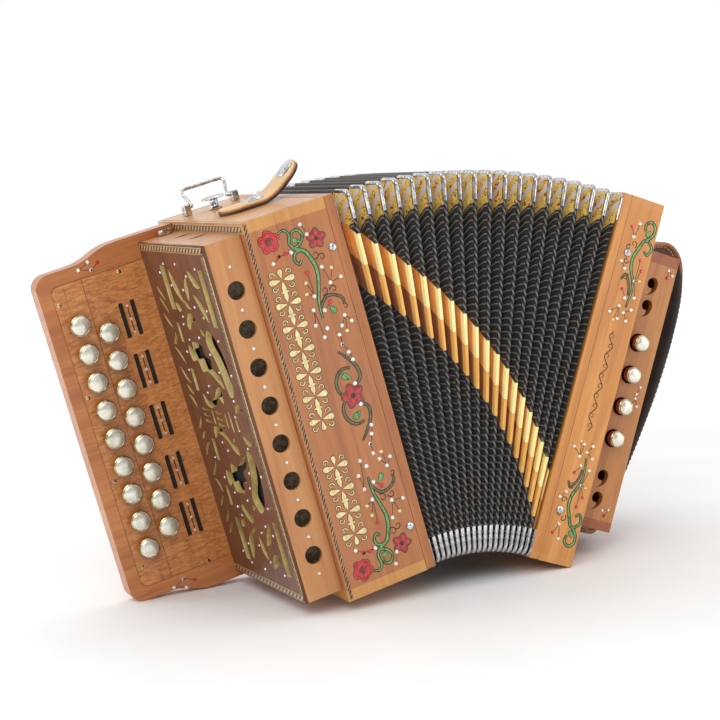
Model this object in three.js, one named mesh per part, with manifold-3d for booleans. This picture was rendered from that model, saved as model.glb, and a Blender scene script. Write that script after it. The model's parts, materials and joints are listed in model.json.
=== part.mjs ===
// A two-row diatonic button accordion, standing half open on its fingerboard and bass case.
// Millimetres, +Z up, +Y towards the back of the instrument.
// Each side of the bellows has its own local frame, called a station:
//   a = along the bellows, b = front to back, c = up the case.
import * as THREE from 'three';
import { mergeVertices } from 'three/addons/utils/BufferGeometryUtils.js';
import Module from 'manifold-3d';

const wasm = await Module();
wasm.setup();

// ---------------------------------------------------------------- driving dimensions
const GAP = 0.3; // clearance between neighbouring pieces
const HEIGHT = 275; // cases and bellows, along c
const DEPTH = 179; // cases and bellows, along b
const FAN_HALF_ANGLE = THREE.MathUtils.degToRad(16.54); // each end of the bellows from upright
const FAN_INNER_RADIUS = 132.3; // fan centre to the bottom of the bellows
const FOLDS = 18;
const FOLD_THICKNESS = 2.8;
const FOLD_DEPTH = 17; // outer ridge to inner valley
const FOLD_INSET = 1; // ridges stand this far inside the cases' outline
const FOLD_CORNER = 5;

const BELLOWS_FRAME = 7; // thickness of each end frame of the bellows, along a
const FRAME_WALL = 12;
const TREBLE_CASE = 70; // treble case and its bellows frame, along a
const BASS_CASE = 35.5; // bass case and its bellows frame, along a
const CASE_WALL = 8;

const SOUND_BOX = { depthA: 29, front: 6.4, rear: 146.3, low: 8.5, high: 267.7, wall: 6 };
// Each round sound hole is a recess whose floor stands for the wire mesh behind it.
const SOUND_HOLES = { count: 8, a: -83.4, top: 232, pitch: 27.5, radius: 6.5, depth: 3.5 };
const TOP_SLOTS = { b: [67, 101, 141], a: -79, length: 13, width: 4.4 };
const GRILLE = { thickness: 2, cell: 30, rim: 8 };

const BOARD = {
  front: 146.6, rear: 163, outer: -182, low: 12, high: 266, corner: 11,
  lowInner: 3, highInner: 274, sweep: [-155, -115],
};
const PLATE = { outer: -172, inner: -72, low: 22, high: 255.4, thickness: 1.7, corner: 6, joint: -148 };
const PALLET_SLOTS = { a: [-125.2, -116], c: [216.2, 177.1, 137, 97.2, 59.7], width: 3.5, length: 27 };

const BUTTON = { radius: 7.85, height: 4, stand: 4, stemRadius: 2.6, stemLength: 11 };
const STEM_HOLE = { radius: 3.4, depth: 11.9 }; // blind, deep enough for a pressed button's stem
const BUTTON_PITCH = 21.7;
const CAP_SIDES = 12; // facets round each button
const BUTTON_ROWS = [
  { count: 9, a: -159.7, top: 223.8 },
  { count: 8, a: -140.4, top: 212.3 },
];

const BASS_BOX = { outer: 78, front: 28, rear: 150, low: 31, high: 245, wall: 5 };
const BASS_BUTTON = {
  count: 4, a: 60, top: 175, pitch: 24.8, radius: 6.3, height: 4, stand: 9, stem: 4.8, stemLength: 17, hole: 7,
};
const BASS_COMMAS = { a: 60, c: [221, 204, 71.5, 54.5], radius: 4.6 };
const AIR_BUTTON = { a: 57, c: 168, radius: 8, height: 3, stand: 7, stem: 5, stemLength: 14, hole: 5.6 };

const HAND_STRAP = { front: 60, width: 64, thickness: 4 };
const STRAP_PAD = { front: 57, width: 70, thickness: 5 };
const BAIL = { a: -35.5, b: 150, c: 280.5, halfFoot: 14.5, halfTop: 17.5, reach: 15.5, wire: 1.3, lean: 32 };
const BRACKET = { clear: 2.6, width: 4.8, depth: 9, height: 8, bore: 1.7 };
const STUD = { a: -37, b: 137, radius: 9, neck: 3, height: 10 };
const BELLOWS_STRAP = { b: 75, halfWidth: 13, thickness: 4, screwA: -36, endA: -56 };

// ---------------------------------------------------------------- colours and finishes
const FINISHES = {
  cherry: { color: 0xa45a34, roughness: 0.35, metalness: 0 },
  cherryLight: { color: 0xc07a45, roughness: 0.35, metalness: 0 },
  boardWood: { color: 0xb87346, roughness: 0.4, metalness: 0 },
  grilleWood: { color: 0x6b3a22, roughness: 0.5, metalness: 0 },
  reedWood: { color: 0xd2ab78, roughness: 0.7, metalness: 0 },
  cloth: { color: 0x1c1a19, roughness: 0.85, metalness: 0 },
  pearl: { color: 0xd9d6cc, roughness: 0.2, metalness: 0.1 },
  leather: { color: 0xc68f5c, roughness: 0.6, metalness: 0 },
  pad: { color: 0x241d1b, roughness: 0.9, metalness: 0 },
  chrome: { color: 0xd8dadc, roughness: 0.1, metalness: 1 },
};

// ---------------------------------------------------------------- solids
function toSolid(geometry) {
  const bare = geometry.clone();
  bare.deleteAttribute('normal');
  bare.deleteAttribute('uv');
  const merged = mergeVertices(bare, 1e-4);
  return new wasm.Manifold(new wasm.Mesh({
    numProp: 3,
    vertProperties: new Float32Array(merged.attributes.position.array),
    triVerts: new Uint32Array(merged.index.array),
  }));
}

function toGeometry(solid) {
  const mesh = solid.getMesh();
  const geometry = new THREE.BufferGeometry();
  geometry.setAttribute('position', new THREE.BufferAttribute(mesh.vertProperties, 3));
  geometry.setIndex(new THREE.BufferAttribute(mesh.triVerts, 1));
  geometry.computeVertexNormals();
  return geometry;
}

function cut(geometry, tools) {
  let solid = toSolid(geometry);
  for (const tool of tools) solid = solid.subtract(toSolid(tool));
  return toGeometry(solid);
}

// A box given by its low and high corners.
function block(low, high) {
  const size = high.map((value, i) => value - low[i]);
  const middle = high.map((value, i) => (value + low[i]) / 2);
  return new THREE.BoxGeometry(...size).translate(...middle);
}

// A shape drawn in (a, c), running from b = front backwards.
function plateAlongB(shape, front, thickness, curveSegments = 8) {
  const options = { depth: thickness, bevelEnabled: false, curveSegments };
  const geometry = new THREE.ExtrudeGeometry(shape, options);
  return geometry.rotateX(Math.PI / 2).translate(0, front + thickness, 0);
}

// A shape drawn in (b, c), running from a = start along +a.
function plateAlongA(shape, start, thickness, curveSegments = 6) {
  const options = { depth: thickness, bevelEnabled: false, curveSegments };
  const geometry = new THREE.ExtrudeGeometry(shape, options);
  const turn = new THREE.Matrix4().makeBasis(
    new THREE.Vector3(0, 1, 0), new THREE.Vector3(0, 0, 1), new THREE.Vector3(1, 0, 0));
  return geometry.applyMatrix4(turn).translate(start, 0, 0);
}

// A shape drawn in (a, b), running from c = bottom upwards.
function plateAlongC(shape, bottom, thickness, curveSegments = 8) {
  const options = { depth: thickness, bevelEnabled: false, curveSegments };
  const geometry = new THREE.ExtrudeGeometry(shape, options);
  return geometry.translate(0, 0, bottom);
}

function rod(radius, from, to, segments = 12) {
  const start = new THREE.Vector3(...from);
  const along = new THREE.Vector3(...to).sub(start);
  const geometry = new THREE.CylinderGeometry(radius, radius, along.length(), segments);
  geometry.translate(0, along.length() / 2, 0);
  const turn = new THREE.Quaternion().setFromUnitVectors(new THREE.Vector3(0, 1, 0), along.normalize());
  return geometry.applyQuaternion(turn).translate(...from);
}

// ---------------------------------------------------------------- outlines
function roundedRectangle(x0, y0, x1, y1, r, Kind = THREE.Shape) {
  const shape = new Kind();
  shape.moveTo(x0 + r, y0);
  shape.lineTo(x1 - r, y0);
  shape.absarc(x1 - r, y0 + r, r, -Math.PI / 2, 0);
  shape.lineTo(x1, y1 - r);
  shape.absarc(x1 - r, y1 - r, r, 0, Math.PI / 2);
  shape.lineTo(x0 + r, y1);
  shape.absarc(x0 + r, y1 - r, r, Math.PI / 2, Math.PI);
  shape.lineTo(x0, y0 + r);
  shape.absarc(x0 + r, y0 + r, r, Math.PI, Math.PI * 1.5);
  return shape;
}

function stadium(x, y, length, width) {
  const half = length / 2 - width / 2;
  const shape = new THREE.Shape();
  shape.absarc(x + half, y, width / 2, -Math.PI / 2, Math.PI / 2);
  shape.absarc(x - half, y, width / 2, Math.PI / 2, Math.PI * 1.5);
  return shape;
}

// A comma: a round head with a tail that curls down to a point.
function comma(x, y, r) {
  const shape = new THREE.Shape();
  shape.absarc(x, y, r, 0, Math.PI);
  shape.quadraticCurveTo(x - r, y - r * 0.9, x, y - r * 0.8);
  shape.quadraticCurveTo(x + r * 0.1, y - r * 1.7, x - r * 0.9, y - r * 2.1);
  shape.quadraticCurveTo(x + r, y - r * 1.7, x + r, y);
  return shape;
}

// A band of even thickness along a smooth line through points.
function band(points, thickness, steps) {
  const line = new THREE.SplineCurve(points.map(([x, y]) => new THREE.Vector2(x, y)));
  const left = [];
  const right = [];
  for (let i = 0; i <= steps; i += 1) {
    const point = line.getPointAt(i / steps);
    const tangent = line.getTangentAt(i / steps);
    const side = new THREE.Vector2(-tangent.y, tangent.x).multiplyScalar(thickness / 2);
    left.push(point.clone().add(side));
    right.unshift(point.clone().sub(side));
  }
  return new THREE.Shape([...left, ...right]);
}

// ---------------------------------------------------------------- bellows
function frameRing(start, thickness, inset, wall, corner) {
  const shape = roundedRectangle(inset, inset, DEPTH - inset, HEIGHT - inset, corner);
  const hole = inset + wall;
  shape.holes.push(roundedRectangle(hole, hole, DEPTH - hole, HEIGHT - hole, 2, THREE.Path));
  return plateAlongA(shape, start, thickness, 3);
}

function endFrame(start) {
  return frameRing(start, BELLOWS_FRAME, 0, FRAME_WALL, 1.5);
}

function foldRing() {
  return frameRing(-FOLD_THICKNESS / 2, FOLD_THICKNESS, FOLD_INSET, FOLD_DEPTH, FOLD_CORNER);
}

// ---------------------------------------------------------------- treble side
function palletHoles() {
  const holes = [];
  for (const [row, b] of [[0, 48], [1, 92]]) {
    for (let i = 0; i < BUTTON_ROWS[row].count; i += 1) {
      const c = HEIGHT / 2 + (i - (BUTTON_ROWS[row].count - 1) / 2) * 26;
      holes.push(block([-TREBLE_CASE - 1, b, c - 6], [-TREBLE_CASE + CASE_WALL + 1, b + 26, c + 6]));
    }
  }
  return holes;
}

function trebleCase() {
  const outer = block([-TREBLE_CASE, 0, 0], [-BELLOWS_FRAME - GAP, DEPTH, HEIGHT]);
  const inner = block([-TREBLE_CASE + CASE_WALL, CASE_WALL, CASE_WALL],
    [0, DEPTH - CASE_WALL, HEIGHT - CASE_WALL]);
  return cut(outer, [inner, ...palletHoles()]);
}

// A reed block is a comb of chambers, open on both sides.
function reedBlock(a, b, c0, c1, chambers, wall) {
  const shape = new THREE.Shape();
  const pitch = (c1 - c0) / chambers;
  const deep = a[1] - 4;
  shape.moveTo(a[0], c0);
  shape.lineTo(a[1], c0);
  for (let i = 0; i < chambers; i += 1) {
    const low = c0 + i * pitch + wall / 2;
    const high = c0 + (i + 1) * pitch - wall / 2;
    shape.lineTo(a[1], low);
    shape.lineTo(a[0] + 4, low);
    shape.lineTo(a[0] + 4, high);
    shape.lineTo(a[1], high);
  }
  shape.lineTo(a[1], c1);
  shape.lineTo(a[0], c1);
  return plateAlongB(shape, b[0], b[1] - b[0]);
}

function soundBox() {
  const a0 = -TREBLE_CASE - SOUND_BOX.depthA + GRILLE.thickness + GAP;
  const a1 = -TREBLE_CASE - GAP;
  const outer = block([a0, SOUND_BOX.front, SOUND_BOX.low], [a1, SOUND_BOX.rear, SOUND_BOX.high]);
  const inner = block([a0 - 1, SOUND_BOX.front + SOUND_BOX.wall, SOUND_BOX.low + SOUND_BOX.wall],
    [a1 + 1, SOUND_BOX.rear + 1, SOUND_BOX.high - SOUND_BOX.wall]);
  const tools = [inner];
  for (let i = 0; i < SOUND_HOLES.count; i += 1) {
    const c = SOUND_HOLES.top - i * SOUND_HOLES.pitch;
    const front = SOUND_BOX.front;
    tools.push(rod(SOUND_HOLES.radius, [SOUND_HOLES.a, front - 1, c],
      [SOUND_HOLES.a, front + SOUND_HOLES.depth, c], 16));
  }
  for (const b of TOP_SLOTS.b) {
    const slot = stadium(TOP_SLOTS.a, b, TOP_SLOTS.length, TOP_SLOTS.width);
    tools.push(plateAlongC(slot, SOUND_BOX.high - SOUND_BOX.wall - 1, SOUND_BOX.wall + 2, 4));
  }
  return cut(outer, tools);
}

// The grille is a thin plate pierced by rows of leaf-shaped openings.
function leafOpening(b, c, size, lean) {
  const leaf = new THREE.Path();
  const tip = new THREE.Vector2(0, size).rotateAround(new THREE.Vector2(), lean);
  const bulge = new THREE.Vector2(size * 0.75, 0).rotateAround(new THREE.Vector2(), lean);
  leaf.moveTo(b - tip.x, c - tip.y);
  leaf.quadraticCurveTo(b + bulge.x, c + bulge.y, b + tip.x, c + tip.y);
  leaf.quadraticCurveTo(b - bulge.x, c - bulge.y, b - tip.x, c - tip.y);
  return leaf;
}

function fretworkGrille() {
  const { front, rear, low, high } = SOUND_BOX;
  const plate = roundedRectangle(front, low, rear, high, 2);
  const rows = Math.floor((high - low - 2 * GRILLE.rim) / GRILLE.cell);
  const columns = Math.floor((rear - front - 2 * GRILLE.rim) / GRILLE.cell);
  for (let row = 0; row < rows; row += 1) {
    for (let column = 0; column < columns; column += 1) {
      const b = (front + rear) / 2 + (column - (columns - 1) / 2) * GRILLE.cell;
      const c = (low + high) / 2 + (row - (rows - 1) / 2) * GRILLE.cell;
      const lean = (row + column) % 2 === 0 ? 0.7 : -0.7;
      plate.holes.push(leafOpening(b, c, GRILLE.cell * 0.42, lean));
    }
  }
  return plateAlongA(plate, -TREBLE_CASE - SOUND_BOX.depthA, GRILLE.thickness, 3);
}

// The board's top and bottom edges sweep outwards in an S towards the case.
function boardOutline() {
  const { outer, low, high, lowInner, highInner, corner, sweep } = BOARD;
  const inner = -TREBLE_CASE - GAP;
  const bend = (sweep[0] + sweep[1]) / 2;
  const shape = new THREE.Shape();
  shape.moveTo(inner, lowInner);
  shape.lineTo(inner, highInner);
  shape.lineTo(sweep[1], highInner);
  shape.bezierCurveTo(bend, highInner, bend, high, sweep[0], high);
  shape.lineTo(outer + corner, high);
  shape.absarc(outer + corner, high - corner, corner, Math.PI / 2, Math.PI);
  shape.lineTo(outer, low + corner);
  shape.absarc(outer + corner, low + corner, corner, Math.PI, Math.PI * 1.5);
  shape.lineTo(sweep[0], low);
  shape.bezierCurveTo(bend, low, bend, lowInner, sweep[1], lowInner);
  return shape;
}

function buttonPlaces() {
  const places = [];
  for (const row of BUTTON_ROWS) {
    for (let i = 0; i < row.count; i += 1) places.push({ a: row.a, c: row.top - i * BUTTON_PITCH });
  }
  return places;
}

function stemHoles(places) {
  const rear = BOARD.front + STEM_HOLE.depth;
  return places.map(({ a, c }) => rod(STEM_HOLE.radius, [a, BOARD.front - 1, c], [a, rear, c], 8));
}

// An upright rectangle whose two outer corners are rounded.
function insetOutline(outer, inner, low, high, r) {
  const shape = new THREE.Shape();
  shape.moveTo(inner, low);
  shape.lineTo(inner, high);
  shape.lineTo(outer + r, high);
  shape.absarc(outer + r, high - r, r, Math.PI / 2, Math.PI);
  shape.lineTo(outer, low + r);
  shape.absarc(outer + r, low + r, r, Math.PI, Math.PI * 1.5);
  return shape;
}

function fingerboard() {
  const solid = plateAlongB(boardOutline(), BOARD.front, BOARD.rear - BOARD.front, 6);
  const recess = insetOutline(PLATE.outer - GAP, PLATE.inner + GAP, PLATE.low - GAP, PLATE.high + GAP,
    PLATE.corner);
  const recessTool = plateAlongB(recess, BOARD.front - 1, 1 + PLATE.thickness + GAP, 4);
  return cut(solid, [recessTool, ...stemHoles(buttonPlaces())]);
}

// The outer plate carries the outer row of buttons.
function outerPlate() {
  const shape = insetOutline(PLATE.outer, PLATE.joint - GAP / 2, PLATE.low, PLATE.high, PLATE.corner);
  const holes = stemHoles(buttonPlaces().filter(({ a }) => a < PLATE.joint));
  return cut(plateAlongB(shape, BOARD.front, PLATE.thickness, 4), holes);
}

// The inner plate carries the inner row of buttons and the pairs of pallet slots.
function innerPlate() {
  const sheet = block([PLATE.joint + GAP / 2, BOARD.front, PLATE.low],
    [PLATE.inner, BOARD.front + PLATE.thickness, PLATE.high]);
  const tools = stemHoles(buttonPlaces().filter(({ a }) => a > PLATE.joint));
  for (const a of PALLET_SLOTS.a) {
    for (const c of PALLET_SLOTS.c) {
      const slot = roundedRectangle(a - PALLET_SLOTS.width / 2, c - PALLET_SLOTS.length / 2,
        a + PALLET_SLOTS.width / 2, c + PALLET_SLOTS.length / 2, 1);
      tools.push(plateAlongB(slot, BOARD.front - 1, PLATE.thickness + 2, 2));
    }
  }
  return cut(sheet, tools);
}

// A domed cap on a stem; the profile runs along b and the cap faces the front.
function capProfile(radius, height, stem, stemLength) {
  const points = [
    [0, -height], [radius * 0.7, -height * 0.85], [radius, -height * 0.4], [radius * 0.98, 0],
    [stem, 0], [stem, stemLength], [0, stemLength],
  ];
  return points.map(([x, y]) => new THREE.Vector2(x, y));
}

function trebleButton(a, c) {
  const profile = capProfile(BUTTON.radius, BUTTON.height, BUTTON.stemRadius, BUTTON.stemLength);
  return new THREE.LatheGeometry(profile, CAP_SIDES).translate(a, BOARD.front - BUTTON.stand, c);
}

function registerSlider() {
  const knob = plateAlongC(stadium(TOP_SLOTS.a, TOP_SLOTS.b[2], 11, 7), SOUND_BOX.high + GAP, 4, 6);
  const stem = rod(1.8, [TOP_SLOTS.a, TOP_SLOTS.b[2], SOUND_BOX.high - SOUND_BOX.wall - 3],
    [TOP_SLOTS.a, TOP_SLOTS.b[2], SOUND_BOX.high + 2], 10);
  return toGeometry(toSolid(knob).add(toSolid(stem)));
}

// ---------------------------------------------------------------- fittings on top of the treble case
// The bail is a wire loop leaning back from its two brackets, its ends turned outwards into them.
function strapBail() {
  const tilt = THREE.MathUtils.degToRad(BAIL.lean);
  const reach = (side, along) => new THREE.Vector3(
    BAIL.a + side, BAIL.b + along * Math.sin(tilt), BAIL.c + along * Math.cos(tilt));
  const foot = BAIL.halfFoot;
  const top = BAIL.halfTop;
  const end = foot + BRACKET.clear + BRACKET.width + 0.6;
  const points = [
    reach(-end, 0), reach(-foot - 3, 0), reach(-foot, 0.8), reach(-foot - 0.5, 4), reach(-top + 0.4, 11),
    reach(-top + 0.8, 14.2), reach(-top + 3.5, BAIL.reach), reach(0, BAIL.reach),
  ];
  const mirrored = points.slice(0, -1).reverse().map((p) => new THREE.Vector3(2 * BAIL.a - p.x, p.y, p.z));
  const path = new THREE.CatmullRomCurve3([...points, ...mirrored], false, 'centripetal');
  const section = new THREE.Shape().absarc(0, 0, BAIL.wire, 0, Math.PI * 2);
  return new THREE.ExtrudeGeometry(section,
    { extrudePath: path, steps: 30, bevelEnabled: false, curveSegments: 3 });
}

function bailBracket(side) {
  const near = BAIL.a + side * (BAIL.halfFoot + BRACKET.clear);
  const far = near + side * BRACKET.width;
  const low = [Math.min(near, far), BAIL.b - BRACKET.depth / 2, HEIGHT + GAP];
  const high = [Math.max(near, far), BAIL.b + BRACKET.depth / 2, HEIGHT + BRACKET.height];
  return cut(block(low, high), [rod(BRACKET.bore, [near - side * 2, BAIL.b, BAIL.c],
    [far + side * 2, BAIL.b, BAIL.c], 12)]);
}

function strapStud() {
  const { radius, neck, height } = STUD;
  const profile = [[0, 0], [neck + 2, 0], [neck + 2, 1], [neck, 1.6], [neck, height - 3],
    [radius - 0.6, height - 2.4], [radius, height - 1.6], [radius * 0.7, height - 0.4], [0, height]];
  const points = profile.map(([x, y]) => new THREE.Vector2(x, y));
  return new THREE.LatheGeometry(points, 18).rotateX(Math.PI / 2).translate(STUD.a, STUD.b, HEIGHT + GAP);
}

// Leather strap, screwed down at one end, its free end curling up over the bellows.
function bellowsStrap() {
  const { halfWidth, thickness, b, endA } = BELLOWS_STRAP;
  const c = HEIGHT + GAP + 0.2 + thickness / 2;
  const line = [[endA, c], [-40, c], [-25, c + 0.3], [-14, c + 4], [-3, c + 11], [8, c + 19.5]];
  return plateAlongB(band(line, thickness, 14), b - halfWidth, 2 * halfWidth);
}

// ---------------------------------------------------------------- bass side
function bassCase() {
  const outer = block([BELLOWS_FRAME + GAP, 0, 0], [BASS_CASE, DEPTH, HEIGHT]);
  const inner = block([0, CASE_WALL, CASE_WALL],
    [BASS_CASE - CASE_WALL, DEPTH - CASE_WALL, HEIGHT - CASE_WALL]);
  const tools = [inner];
  for (let i = 0; i < BASS_BUTTON.count; i += 1) {
    const c = BASS_BUTTON.top - i * BASS_BUTTON.pitch;
    tools.push(block([BASS_CASE - CASE_WALL - 1, 80, c - 7], [BASS_CASE + 1, 110, c + 7]));
  }
  return cut(outer, tools);
}

function bassBox() {
  const { outer, front, rear, low, high, wall } = BASS_BOX;
  const start = BASS_CASE + GAP;
  const tools = [block([start - 1, front + wall, low + wall], [outer - wall, rear - wall, high - wall])];
  for (let i = 0; i < BASS_BUTTON.count; i += 1) {
    const c = BASS_BUTTON.top - i * BASS_BUTTON.pitch;
    const behind = front + wall + 1;
    tools.push(rod(BASS_BUTTON.hole, [BASS_BUTTON.a, front - 1, c], [BASS_BUTTON.a, behind, c], 16));
  }
  for (const c of BASS_COMMAS.c) {
    tools.push(plateAlongB(comma(BASS_COMMAS.a, c, BASS_COMMAS.radius), front - 1, wall + 2, 6));
  }
  tools.push(rod(AIR_BUTTON.hole, [AIR_BUTTON.a, rear - wall - 1, AIR_BUTTON.c],
    [AIR_BUTTON.a, rear + 1, AIR_BUTTON.c], 16));
  return cut(block([start, front, low], [outer, rear, high]), tools);
}

function bassButton(c) {
  const { a, radius, height, stem, stemLength, stand } = BASS_BUTTON;
  const profile = capProfile(radius, height, stem, stemLength);
  return new THREE.LatheGeometry(profile, CAP_SIDES).translate(a, BASS_BOX.front - stand + height, c);
}

function airButton() {
  const { a, c, radius, height, stem, stemLength, stand } = AIR_BUTTON;
  const profile = capProfile(radius, height, stem, stemLength);
  return new THREE.LatheGeometry(profile, CAP_SIDES).rotateX(Math.PI)
    .translate(a, BASS_BOX.rear + stand - height, c);
}

// Middle line of the hand strap, from the top of the bass box round its outer side to its bottom.
const STRAP_LINE = [[44, 247.6], [60, 248.4], [73, 253.6], [85, 257.9], [95.6, 253], [102.4, 241.8],
  [107.3, 218], [108.5, 184], [106.4, 145], [101.6, 106], [94.4, 60.5], [90.5, 42], [85.4, 29.8],
  [79, 27.2], [60, 28.6]];

function handStrap() {
  return plateAlongB(band(STRAP_LINE, HAND_STRAP.thickness, 34), HAND_STRAP.front, HAND_STRAP.width);
}

function strapPad() {
  const inward = HAND_STRAP.thickness / 2 + GAP + STRAP_PAD.thickness / 2 + 0.2;
  const line = STRAP_LINE.slice(6, 11).map(([a, c]) => [a - inward, c]);
  return plateAlongB(band(line, STRAP_PAD.thickness, 12), STRAP_PAD.front, STRAP_PAD.width);
}

// ---------------------------------------------------------------- assembly
// A station sits on the bellows' inner arc at an angle from upright, and leans with it.
function station(angle) {
  const group = new THREE.Group();
  group.position.set(FAN_INNER_RADIUS * Math.sin(angle), 0, FAN_INNER_RADIUS * Math.cos(angle));
  group.rotation.y = angle;
  return group;
}

function add(group, name, finish, geometry) {
  const mesh = new THREE.Mesh(geometry, new THREE.MeshStandardMaterial(FINISHES[finish]));
  mesh.name = name;
  group.add(mesh);
}

function trebleSide() {
  const side = station(-FAN_HALF_ANGLE);
  add(side, 'treble_case', 'cherry', trebleCase());
  add(side, 'treble_bellows_frame', 'cherryLight', endFrame(-BELLOWS_FRAME));
  add(side, 'treble_reed_block', 'reedWood',
    reedBlock([-TREBLE_CASE + CASE_WALL + GAP, -22], [50, 72], 18, 257, 9, 3));
  add(side, 'sound_box', 'cherry', soundBox());
  add(side, 'fretwork_grille', 'grilleWood', fretworkGrille());
  add(side, 'fingerboard', 'cherry', fingerboard());
  add(side, 'fingerboard_outer_plate', 'boardWood', outerPlate());
  add(side, 'fingerboard_inner_plate', 'boardWood', innerPlate());
  buttonPlaces().forEach(({ a, c }, i) => {
    add(side, `treble_button_${String(i + 1).padStart(2, '0')}`, 'pearl', trebleButton(a, c));
  });
  add(side, 'register_slider', 'chrome', registerSlider());
  add(side, 'strap_bail', 'chrome', strapBail());
  add(side, 'bail_bracket_outer', 'chrome', bailBracket(-1));
  add(side, 'bail_bracket_inner', 'chrome', bailBracket(1));
  add(side, 'strap_stud', 'chrome', strapStud());
  add(side, 'bellows_strap', 'leather', bellowsStrap());
  return side;
}

function bassSide() {
  const side = station(FAN_HALF_ANGLE);
  add(side, 'bass_bellows_frame', 'cherryLight', endFrame(0));
  add(side, 'bass_case', 'cherryLight', bassCase());
  add(side, 'bass_reed_block', 'reedWood',
    reedBlock([9, BASS_CASE - CASE_WALL - GAP], [115, 137], 60, 200, 6, 3));
  add(side, 'bass_box', 'cherryLight', bassBox());
  for (let i = 0; i < BASS_BUTTON.count; i += 1) {
    add(side, `bass_button_${i + 1}`, 'pearl', bassButton(BASS_BUTTON.top - i * BASS_BUTTON.pitch));
  }
  add(side, 'air_button', 'pearl', airButton());
  add(side, 'hand_strap', 'leather', handStrap());
  add(side, 'hand_strap_pad', 'pad', strapPad());
  return side;
}

function bellows() {
  const group = new THREE.Group();
  for (let i = 1; i <= FOLDS; i += 1) {
    const place = station(-FAN_HALF_ANGLE + (2 * FAN_HALF_ANGLE * i) / (FOLDS + 1));
    add(place, `fold_${String(i).padStart(2, '0')}`, 'cloth', foldRing());
    group.add(place);
  }
  return group;
}

function lowest(part) {
  part.parent.updateWorldMatrix(true, true);
  return new THREE.Box3().setFromObject(part, true).min.z;
}

// Lean the whole instrument about Y until its treble and bass sides touch the ground together.
function standLevel(instrument, treble, bass) {
  let low = 0;
  let high = THREE.MathUtils.degToRad(15);
  for (let i = 0; i < 40; i += 1) {
    instrument.rotation.y = (low + high) / 2;
    if (lowest(treble) < lowest(bass)) low = instrument.rotation.y;
    else high = instrument.rotation.y;
  }
  const box = new THREE.Box3().setFromObject(instrument, true);
  const middle = box.getCenter(new THREE.Vector3());
  instrument.position.set(-middle.x, -middle.y, -box.min.z);
}

const instrument = new THREE.Group();
const treble = trebleSide();
const bass = bassSide();
instrument.add(treble, bellows(), bass);
standLevel(instrument, treble, bass);
instrument.updateMatrixWorld(true);

export default instrument;
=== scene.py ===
"""Looks for a two-row button accordion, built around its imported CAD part. Lengths are in millimetres
in the frame of one side of the instrument: a along the bellows, b front to back, c up the case."""

import json
import math
import random

import bmesh
import bpy
import numpy as np
from mathutils import Matrix, Vector


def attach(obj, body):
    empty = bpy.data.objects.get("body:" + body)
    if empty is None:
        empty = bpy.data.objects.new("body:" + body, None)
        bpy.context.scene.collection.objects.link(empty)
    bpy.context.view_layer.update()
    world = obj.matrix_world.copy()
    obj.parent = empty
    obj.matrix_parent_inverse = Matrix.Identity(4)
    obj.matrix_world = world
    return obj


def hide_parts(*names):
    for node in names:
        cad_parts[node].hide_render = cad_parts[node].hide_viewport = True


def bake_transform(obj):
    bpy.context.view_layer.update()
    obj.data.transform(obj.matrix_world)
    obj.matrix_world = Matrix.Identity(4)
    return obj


MM = 0.001
BACK = Vector((0, 1, 0))

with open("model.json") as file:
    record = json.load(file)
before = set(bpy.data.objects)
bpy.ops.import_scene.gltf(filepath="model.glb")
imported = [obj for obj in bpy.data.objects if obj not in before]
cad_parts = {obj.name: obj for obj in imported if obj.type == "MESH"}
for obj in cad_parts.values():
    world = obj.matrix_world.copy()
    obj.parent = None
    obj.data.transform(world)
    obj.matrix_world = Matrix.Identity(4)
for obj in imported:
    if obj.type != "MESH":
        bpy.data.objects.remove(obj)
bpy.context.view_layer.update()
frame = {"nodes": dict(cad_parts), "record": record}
NODES = frame["nodes"]
random.seed(7)


# ------------------------------------------------------------------ the frames of the two sides
def extents(node, turn):
    """Lowest and highest corner of a CAD node along the columns of a rotation or a side's matrix."""
    back = turn.inverted()
    points = np.array([back @ v.co for v in NODES[node].data.vertices])
    return points.min(axis=0), points.max(axis=0)


def side_matrix(mount_name, end_frame, inner):
    mount = next(m for m in frame["record"]["mounts"] if m["name"] == mount_name)
    up = -Vector(mount["axis"]).normalized()
    turn = Matrix((BACK.cross(up), BACK, up)).transposed().to_4x4()
    low, high = extents(end_frame, turn)
    a = high[0] if inner == "high" else low[0]
    return Matrix.Translation(turn @ Vector((a, low[1], low[2]))) @ turn


TREBLE = side_matrix("treble_case_bottom", "treble_bellows_frame", "high")
BASS = side_matrix("bass_case_bottom", "bass_bellows_frame", "low")


def local_box(node, side):
    low, high = extents(node, side)
    return low / MM, high / MM


FOLDS = sum(name.startswith("fold_") for name in NODES)
UP_T, UP_B = TREBLE.col[2].xyz, BASS.col[2].xyz
FAN_RADIUS = (TREBLE.translation - BASS.translation).length / (UP_T - UP_B).length
FAN_CENTRE = TREBLE.translation - FAN_RADIUS * UP_T
FAN_START = math.atan2(UP_T.x, UP_T.z)
FAN_STEP = (math.atan2(UP_B.x, UP_B.z) - FAN_START) / (FOLDS + 1)
CASE_HIGH = local_box("treble_case", TREBLE)[1]
DEPTH, HEIGHT = CASE_HIGH[1], CASE_HIGH[2]


def station(u):
    """The frame of a place in the fan: 0 is the treble side, FOLDS + 1 the bass side."""
    angle = FAN_START + u * FAN_STEP
    up = Vector((math.sin(angle), 0, math.cos(angle)))
    turn = Matrix((BACK.cross(up), BACK, up)).transposed().to_4x4()
    return Matrix.Translation(FAN_CENTRE + FAN_RADIUS * up) @ turn


# ------------------------------------------------------------------ camera, lights and floor
CAMERA = {  # round, above and roll are degrees from straight in front of the half-open bellows
    "target": (-18.42, 10.5, 161.3), "distance": 1447.86, "round": 23.77, "above": 4.77, "roll": -0.29}
LENS, SENSOR = 96.9, 36.0


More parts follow.
